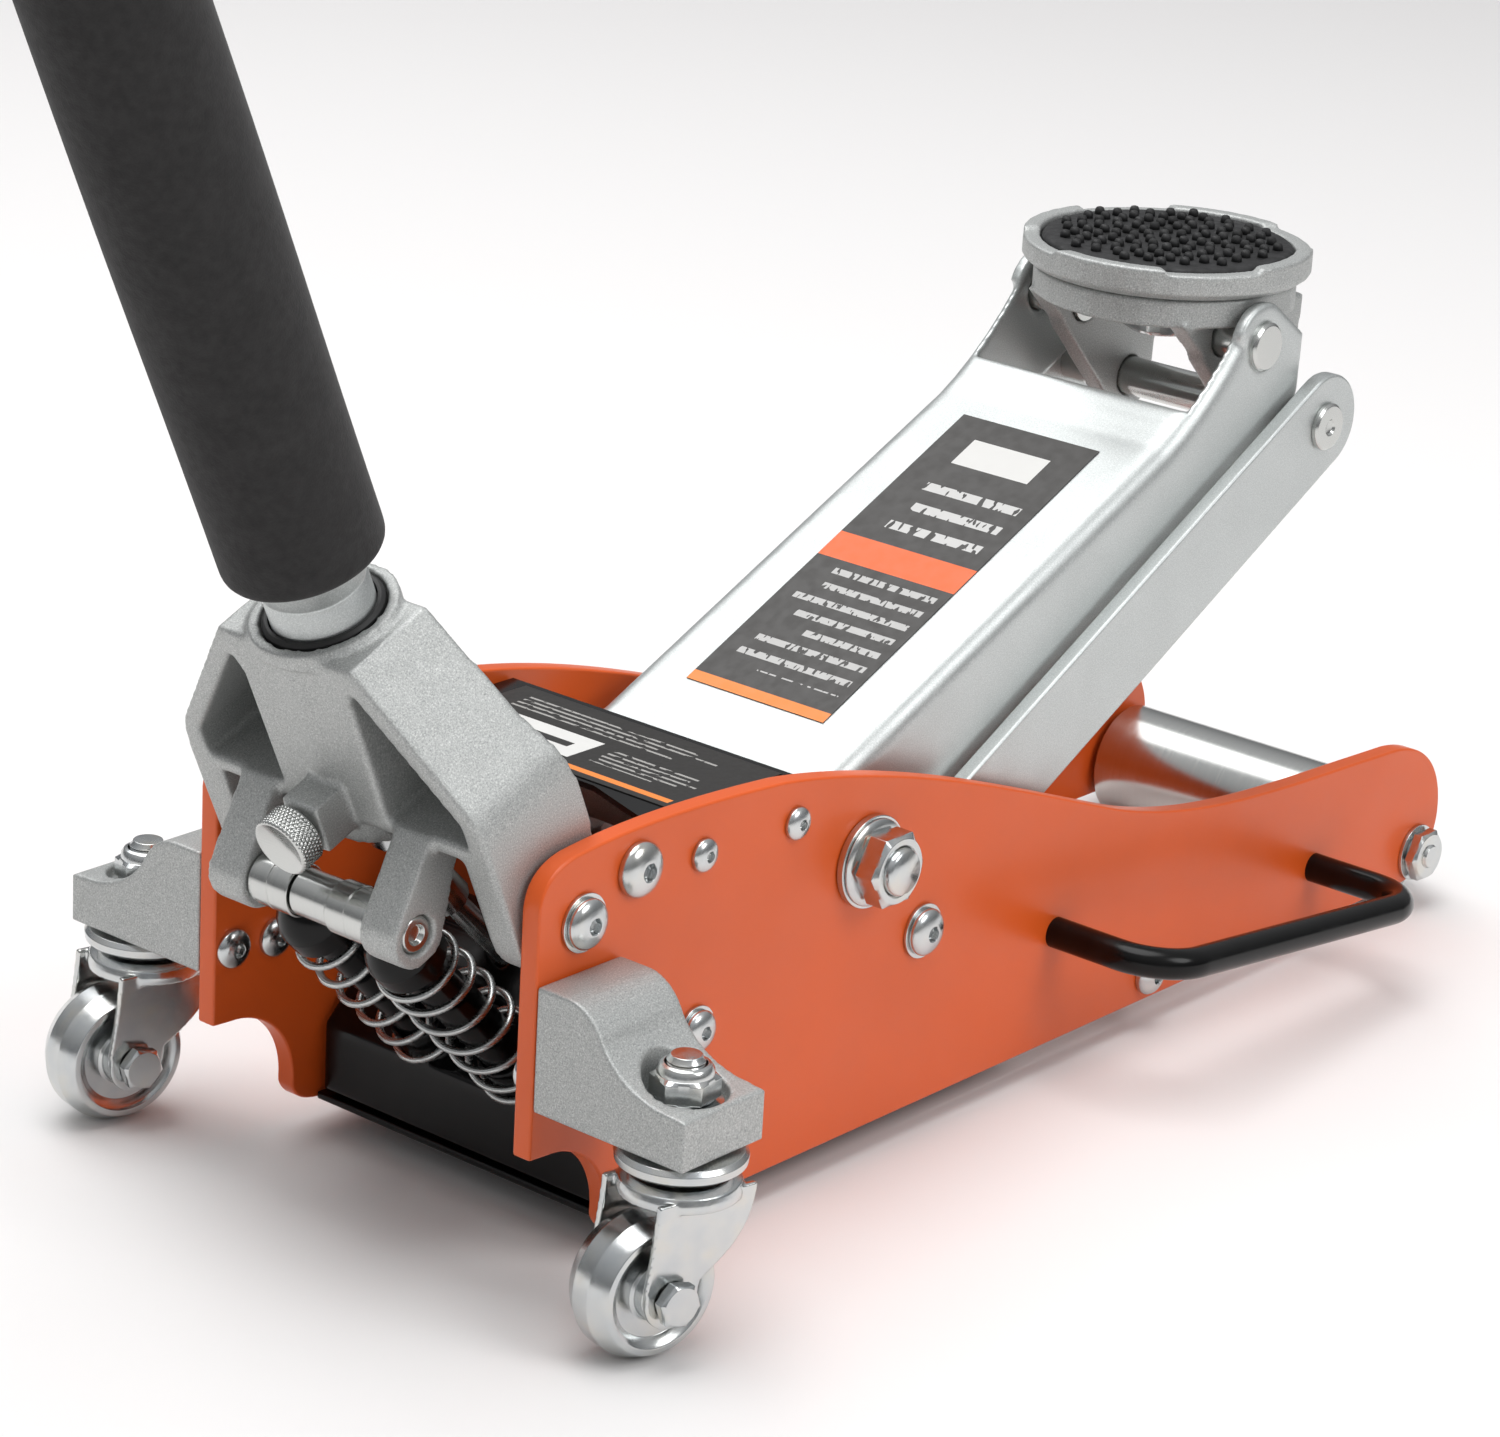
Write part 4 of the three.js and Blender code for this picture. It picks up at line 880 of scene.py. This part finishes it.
def handle_socket():
    """The cast socket, its roller pin with two rollers, and the knurled clamping screw."""
    f = finishes()
    cast("socket_casting", cad_shell("handle_socket", HANDLE), "socket", f["cast"],
         ["handle_socket"], grain=1.0, rounds=5, where=HANDLE)
    reach = box("roller_pin")[1][1]
    half = [(0, 0), (7.4, 0), (7.4, 7.2), (5.9, 7.4), (5.9, reach - 0.8), (5.2, reach), (3.2, reach),
            (2.6, reach - 1.6), (0, reach - 1.6)]
    across = place(PUMP_PIN, X, Y)
    solid("pump_pin", turned(mirrored(half), 64), "socket", f["steel_y"], ["roller_pin"],
          edge=0.25, where=across)
    for side, _ in SIDES:
        low, high = box(f"pump_roller_{side}")
        a, b = low[1] + 0.1, high[1] - 0.1
        m = (a + b) / 2
        ring = [(6.3, a), (8.0, a), (8.4, a + 0.5), (8.4, m - 0.5), (8.0, m - 0.3), (8.0, m + 0.3),
                (8.4, m + 0.5), (8.4, b - 0.5), (8.0, b), (6.3, b), (6.3, a)]
        solid(f"pump_ring_{side}", turned(ring, 72), f"pump_roller_{side}", f["steel_y"],
              [f"pump_roller_{side}"], edge=0.1, where=across)
    where = place(joint_at("lock_screw_turn"), Y, -unit(JOINTS["lock_screw_turn"]["axis"]))
    span = taken(cad_shell("lock_screw")[0], where)[:, 2]
    knob_length = 9
    face, end = span.max() - knob_length, span.max()
    rim = box("lock_screw")[1][1] - 0.1
    levels = np.linspace(face + 0.8, end - 0.8, 26)
    knob = [(0, face), (rim - 0.8, face), *[(rim, h) for h in levels], (rim - 0.8, end), (rim - 1.2, end),
            (rim - 1.6, end - 0.4), (0, end - 0.4)]
    solid("clamp_knob", turned(knob, 240, knurled(0.45, 44, 2.4)), "lock_screw", f["steel_z"],
          ["lock_screw"], edge=0.0, where=where)
    plated("clamp_screw", threads(3.8, span.min(), face + 0.5, 1.2), where, edge=0.0, body="lock_screw")


def handle():
    """Two-piece tube, seal ring, foam sleeve, end grip and the coupler that turns the valve."""
    f = finishes()

    def ends(node):
        along = taken(cad_shell(node)[0], HANDLE)[:, 2]
        return along.min(), along.max()

    low, high = ends("seal_ring")
    seal = [(16.4, low + 0.1), (18.8, low + 0.1), (18.6, high - 1), (17.6, high), (16.4, high),
            (16.4, low + 0.1)]
    solid("tube_seal", turned(seal, 96), "socket", f["nylon"], ["seal_ring"], edge=0.2,
          where=HANDLE)
    low, high = ends("handle_tube_lower")
    groove = 104
    profile = [(14, low), (15.9, low), (15.9, groove), (15.6, groove + 0.4), (15.6, groove + 1.4),
               (15.9, groove + 1.8), (15.9, high - 0.6), (15.3, high), (14, high), (14, low)]
    solid("lower_tube", turned(profile, 96), "handle", f["silver"], ["handle_tube_lower"],
          edge=0.0, where=HANDLE)
    low, high = ends("handle_tube_upper")
    solid("upper_tube", tube(11.8, 13.6, low, high, 96), "handle", f["silver"],
          ["handle_tube_upper"], edge=0.3, where=HANDLE)

    # The foam's radius waves by 0.18 mm along its length, and falls away by 1.8 mm in a quick
    # exponential at each end.
    low, high = ends("foam_sleeve")
    levels = np.concatenate([low + np.linspace(0, 9, 14), np.linspace(low + 14, high - 14, 60),
                             high - np.linspace(9, 0, 14)])
    rounding = 1.8 * (np.exp((low - levels) / 0.9) + np.exp((levels - high) / 0.9))
    skin = 24.75 + 0.18 * np.sin(levels / 31) - rounding
    sleeve = [(16.4, low), *zip(skin, levels), (16.4, high), (16.4, low)]
    solid("foam_grip", turned(sleeve, 128), "handle", f["foam"], ["foam_sleeve"], edge=0.0,
          where=HANDLE)

    # The grip's ribs: a narrow groove every 7 mm, the sixth power of a cosine.
    low, high = ends("handle_grip")
    ribs = [(17.6 - 0.7 * max(0.0, math.cos(2 * math.pi * (h - low) / 7)) ** 6, h)
            for h in np.arange(low + 6, high - 10, 0.7)]
    grip = [(14.1, low), (17.2, low), (17.9, low + 1.2), (17.9, low + 4), *ribs, (17.9, high - 8),
            (17.9, high - 3.4), (15, high - 0.8), (13.8, high - 0.05), (0, high - 0.05), (0, high - 3.4),
            (14.1, high - 3.4), (14.1, low)]
    solid("end_grip", turned(grip, 96), "handle", f["rubber"], ["handle_grip"], edge=0.2,
          where=HANDLE)
    plated("turn_coupler", cad_shell("valve_coupler"), None, ["valve_coupler"], edge=0.5, body="handle")


# ---- lifting linkage ------------------------------------------------------------------------
def label(name, corners, up, material, body, thick=0.25, inset=0.12):
    """A thin label over four corners, given round from its first. A point is the bilinear blend of the
    corners by u and v, lifted along up, and the UV map is u across it and v along it."""
    corners = np.asarray(corners, float)
    rows, columns = 24, 12
    v, u = np.meshgrid(np.linspace(0, 1, rows), np.linspace(0, 1, columns), indexing="ij")
    u, v = u[..., None], v[..., None]
    near = (1 - u) * corners[0] + u * corners[1]
    far = (1 - u) * corners[3] + u * corners[2]
    flat = (1 - v) * near + v * far
    top = (flat + np.asarray(up) * (inset + thick)).reshape(-1, 3)
    under = (flat + np.asarray(up) * inset).reshape(-1, 3)
    count = rows * columns
    upper = grid_faces(rows, columns, round_columns=False)
    rim = np.concatenate([np.arange(columns), np.arange(2, rows + 1) * columns - 1,
                          np.arange(count - 2, count - columns - 1, -1), np.arange(rows - 2, 0, -1) * columns])
    nxt = np.roll(rim, -1)
    sides = np.stack([rim, nxt, nxt + count, rim + count], -1)
    faces = np.concatenate([upper, upper[:, ::-1] + count, sides])
    points = np.concatenate([top, under])
    mesh = bpy.data.meshes.new(name)
    mesh.from_pydata((points * MM).tolist(), [], faces.tolist())
    layer = mesh.uv_layers.new(name="print")
    loops = np.zeros(len(mesh.loops), np.int32)
    mesh.loops.foreach_get("vertex_index", loops)
    uv = np.stack([u.ravel(), v.ravel()], -1)
    layer.data.foreach_set("uv", uv[loops % count].astype(np.float32).ravel())
    work = bmesh.new()
    work.from_mesh(mesh)
    bmesh.ops.recalc_face_normals(work, faces=work.faces)
    work.to_mesh(mesh)
    work.free()
    piece = show(name, mesh, body, material)
    mesh.set_sharp_from_angle(angle=math.radians(40))
    return piece


def linkage():
    """Lift arm with its pins, the parallel links, and the labels on the arm and the cover."""
    f = finishes()
    cast("arm_pressing", cad_shell("lift_arm", ARM), "arm", f["silver"], ["lift_arm"],
         grain=1.12, rounds=6, where=ARM)
    # The arm's top face stands 14.5 mm above the line of its pins at the pivot, and falls forwards.
    face, tilt = 14.5, math.tan(math.radians(-3.7))

    def on_arm(s, y):
        return laid([(s, y, face + s * tilt)], ARM)[0]

    up = unit(np.cross(on_arm(100, 0) - on_arm(0, 0), Y))
    label("arm_label", [on_arm(36, -29), on_arm(36, 29), on_arm(190, 29), on_arm(190, -29)], up,
          f["arm_label"], "arm")
    low, high = box("cover_plate")
    x0, x1, y, z = low[0] + 16, high[0] - 3, 54, high[2]
    label("cover_label", [(x0, y, z), (x0, -y, z), (x1, -y, z), (x1, y, z)], Z,
          f["cover_label"], "root", inset=0.05)

    for side, sign in SIDES:
        low, high = box(f"arm_front_pin_{side}")
        start, end = (low[1], high[1]) if sign > 0 else (-high[1], -low[1])
        pin = [(0, start), (6.9, start), (6.9, end - 3.2), (8.6, end - 3.1), (8.6, end - 1.0), (7.6, end - 0.1),
               (0, end - 0.1)]
        solid(f"front_pin_{side}", turned(pin, 56), "arm", f["steel_y"], [f"arm_front_pin_{side}"],
              edge=0.2, where=place(FRONT_PIN * vec(1, 0, 1), X, sign * Y))
    low, high = box("ram_pin")
    centre, radius = (low + high) / 2, (high[2] - low[2]) / 2 - 0.05
    solid("ram_cross_pin", rod(radius, low[1], high[1], 56), "arm", f["steel_y"], ["ram_pin"],
          edge=0.6, where=along_y(centre))

    half_width, reach = 17.0, 19.0
    for side, _ in SIDES:
        low, high = box(f"parallel_link_{side}")
        lower = joint_at(f"link_swing_{side}") * vec(1, 0, 1)
        outline = np.concatenate([
            arc((ARM_LENGTH + reach - half_width, 0), half_width, -90, 90, 32),
            arc((half_width - reach, 0), half_width, 90, 270, 32)])
        where = place(lower, ARM_LINE, np.cross(ARM_LINE, Y))
        solid(f"link_bar_{side}", prism(outline, low[1], high[1]), f"link_{side}", f["silver"],
              [f"parallel_link_{side}"], edge=1.0, where=where)
    low, high = box("link_pin")
    centre, reach = (low + high) / 2, high[1]
    half = [(0, 0), (6.9, 0), (6.9, reach - 2.6), (8.4, reach - 2.4), (8.4, reach - 0.9), (7.6, reach - 0.1),
            (3.0, reach - 0.1), (2.4, reach - 1.0), (0, reach - 1.4)]
    solid("link_pin_turned", turned(mirrored(half), 56), "bracket", f["steel_y"], ["link_pin"],
          edge=0.2, where=along_y(centre))


def saddle():
    """The saddle, its cast bracket and bolt, and the rubber pad with its round nubs."""
    f = finishes()
    sizes = bpy.context.scene.jack_sizes
    cast("bracket_casting", cad_shell("saddle_bracket"), "bracket", f["cast"], ["saddle_bracket"],
         grain=0.9, rounds=5)
    upright = place(SADDLE, X, Z)
    low, high = box("saddle_bolt")
    bolt = joined(moved(hex_nut(23.4, 11), low[2] + 0.1, 15), rod(7.9, low[2] + 5, high[2] - 0.1, 48))
    plated("saddle_screw", bolt, upright, ["saddle_bolt"], edge=0.3, body="bracket")
    cast("saddle_cup", cad_shell("saddle"), "saddle", f["cast"], ["saddle"], grain=0.75, rounds=4)
    low, high = box("saddle_pad")
    radius, nub_height = (high[0] - low[0]) / 2, 2.6
    top = high[2] - nub_height
    body = turned([(0, low[2]), (radius - 0.8, low[2]), (radius - 0.1, low[2] + 0.8), (radius - 0.1, top - 1.6),
                   (radius - 0.6, top - 0.6), (radius - 1.8, top), (0, top)], 128)
    # Nubs sit on a sunflower spiral: angle by the golden ratio, radius by the square root of the count.
    n = np.arange(sizes.nubs) + 0.5
    spiral = (radius - 5.2) * np.sqrt(n / sizes.nubs)
    turn = n * math.pi * (3 - math.sqrt(5))
    r = sizes.nub / 2
    dome, dome_faces = turned([(0, -0.4), (r, -0.4), (r * 0.94, nub_height * 0.55), (r * 0.7, nub_height * 0.9),
                               (r * 0.3, nub_height), (0, nub_height)], 12)
    nubs = [(dome + vec(x, y, top), dome_faces) for x, y in zip(spiral * np.cos(turn), spiral * np.sin(turn))]
    solid("saddle_rubber", joined(body, *nubs), "saddle", f["rubber"], ["saddle_pad"],
          edge=0.0, where=upright)


# ---- stage ----------------------------------------------------------------------------------
def hold(name, data, axes, position):
    """Puts a light or camera in the scene, its axes given as the columns right, up and back."""
    holder = bpy.data.objects.new(name, data)
    bpy.context.scene.collection.objects.link(holder)
    holder.matrix_world = Matrix(np.vstack([np.column_stack([*axes, position]), [0, 0, 0, 1]]).tolist())
    return holder


def stage():
    """A pale floor, soft lights and the camera at a raised three-quarter view from the rear right."""
    scene = bpy.context.scene
    floor = bpy.data.meshes.new("floor")
    size = 9.0
    corners = [(-size, -size, 0), (size, -size, 0), (size, size, 0), (-size, size, 0)]
    floor.from_pydata(corners, [], [(0, 1, 2, 3)])
    ground = bpy.data.objects.new("floor", floor)
    scene.collection.objects.link(ground)
    paper = bpy.data.materials.new("studio_paper")
    paper.use_nodes = True
    shader = paper.node_tree.nodes["Principled BSDF"]
    shader.inputs["Base Color"].default_value = linear("#f0eeed")
    shader.inputs["Roughness"].default_value = 0.9
    shader.inputs["Specular IOR Level"].default_value = 0.1
    floor.materials.append(paper)

    world = bpy.data.worlds.new("studio")
    scene.world = world
    world.use_nodes = True
    # The room is bright overhead and dim at the horizon.
    tree = world.node_tree
    way = add(tree, "ShaderNodeSeparateXYZ", {"Vector": add(tree, "ShaderNodeTexCoord").outputs["Generated"]})
    sky = add(tree, "ShaderNodeValToRGB", {"Fac": way.outputs["Z"]})
    for stop, position, colour in zip(sky.color_ramp.elements, (0.05, 0.7), ("#8f9092", "#f4f5f7")):
        stop.position, stop.color = position, linear(colour)
    tree.links.new(sky.outputs["Color"], tree.nodes["Background"].inputs["Color"])
    tree.nodes["Background"].inputs["Strength"].default_value = 0.6
    middle = vec(0.1, 0, 0.15)
    for name, position, width, power in (
            ("key", (0.5, -2.3, 1.9), 1.5, 23), ("top", (-0.2, 0.1, 2.7), 2.2, 44),
            ("sheen", (0.45, 1.55, 2.2), 1.7, 15)):
        lamp = bpy.data.lights.new(name, "AREA")
        lamp.shape, lamp.size, lamp.energy = "DISK", width, power
        back = unit(vec(*position) - middle)
        right = unit(np.cross(Z, back))
        hold(name, lamp, (right, np.cross(back, right), back), position)

    azimuth, elevation, roll = -0.883, 0.341, 0.057  # radians
    back = vec(math.sin(azimuth) * math.cos(elevation), -math.cos(azimuth) * math.cos(elevation),
               math.sin(elevation))
    right = unit(np.cross(Z, back))
    up = np.cross(back, right)
    side = math.cos(roll) * right + math.sin(roll) * up
    top = math.cos(roll) * up - math.sin(roll) * right
    eye = vec(REAR - 928.2, -907.1, 633.2) * MM
    camera = bpy.data.cameras.new("camera")
    camera.sensor_width, camera.lens = 36.0, 112.43
    camera.clip_end = 50
    scene.camera = hold("camera", camera, (side, top, back), eye)
    scene.view_settings.view_transform = "Standard"


# ---- operators ------------------------------------------------------------------------------
class JackChassis(bpy.types.Operator):
    """Makes the side plates, castor blocks, pan and cover"""

    bl_idname = "jack.chassis"
    bl_label = "Chassis"

    def execute(self, context):
        chassis()
        return {"FINISHED"}


class JackCarryHandles(bpy.types.Operator):
    """Makes the bent carry rods"""

    bl_idname = "jack.carry_handles"
    bl_label = "Carry handles"

    def execute(self, context):
        carry_handles()
        return {"FINISHED"}


class JackFasteners(bpy.types.Operator):
    """Makes the bolts, nuts, washers and rods"""

    bl_idname = "jack.fasteners"
    bl_label = "Fasteners"

    def execute(self, context):
        fasteners()
        return {"FINISHED"}


class JackCastors(bpy.types.Operator):
    """Makes both swivel castors"""

    bl_idname = "jack.castors"
    bl_label = "Castors"

    def execute(self, context):
        castors()
        return {"FINISHED"}


class JackRoller(bpy.types.Operator):
    """Makes the front roller"""

    bl_idname = "jack.roller"
    bl_label = "Front roller"

    def execute(self, context):
        front_roller()
        return {"FINISHED"}


class JackHydraulics(bpy.types.Operator):
    """Makes the pump body, ram, valve, plungers and springs"""

    bl_idname = "jack.hydraulics"
    bl_label = "Hydraulic unit"

    def execute(self, context):
        hydraulics()
        return {"FINISHED"}


class JackSocket(bpy.types.Operator):
    """Makes the handle socket with its pin, rollers and screw"""

    bl_idname = "jack.socket"
    bl_label = "Handle socket"

    def execute(self, context):
        handle_socket()
        return {"FINISHED"}


class JackHandle(bpy.types.Operator):
    """Makes the handle's tubes, foam, grip and coupler"""

    bl_idname = "jack.handle"
    bl_label = "Handle"

    def execute(self, context):
        handle()
        return {"FINISHED"}


class JackLinkage(bpy.types.Operator):
    """Makes the lift arm, links, pins and labels"""

    bl_idname = "jack.linkage"
    bl_label = "Lifting linkage"

    def execute(self, context):
        linkage()
        return {"FINISHED"}


class JackSaddle(bpy.types.Operator):
    """Makes the saddle, bracket, bolt and rubber pad"""

    bl_idname = "jack.saddle"
    bl_label = "Saddle"

    def execute(self, context):
        saddle()
        return {"FINISHED"}


class JackStage(bpy.types.Operator):
    """Makes the floor, lights and camera"""

    bl_idname = "jack.stage"
    bl_label = "Stage"

    def execute(self, context):
        stage()
        return {"FINISHED"}


PIECES = (JackStage, JackChassis, JackCarryHandles, JackFasteners, JackCastors, JackRoller, JackHydraulics,
          JackSocket, JackHandle, JackLinkage, JackSaddle)


class JackPanel(bpy.types.Panel):
    """Lists the jack's sizes, colours and pieces"""

    bl_idname = "VIEW3D_PT_jack"
    bl_label = "Floor jack"
    bl_space_type = "VIEW_3D"
    bl_region_type = "UI"
    bl_category = "Jack"

    def draw(self, context):
        for group in (context.scene.jack_sizes, context.scene.jack_colours):
            for key in group.__annotations__:
                self.layout.prop(group, key)
        for piece in PIECES:
            self.layout.operator(piece.bl_idname)


CLASSES = (JackSizes, JackColours, *PIECES, JackPanel)


def register():
    for cls in CLASSES:
        bpy.utils.register_class(cls)
    bpy.types.Scene.jack_sizes = PointerProperty(type=JackSizes)
    bpy.types.Scene.jack_colours = PointerProperty(type=JackColours)


def unregister():
    del bpy.types.Scene.jack_colours
    del bpy.types.Scene.jack_sizes
    for cls in reversed(CLASSES):
        bpy.utils.unregister_class(cls)


def main():
    register()
    for piece in PIECES:
        group, name = piece.bl_idname.split(".")
        getattr(getattr(bpy.ops, group), name)()


if __name__ == "__main__":
    main()
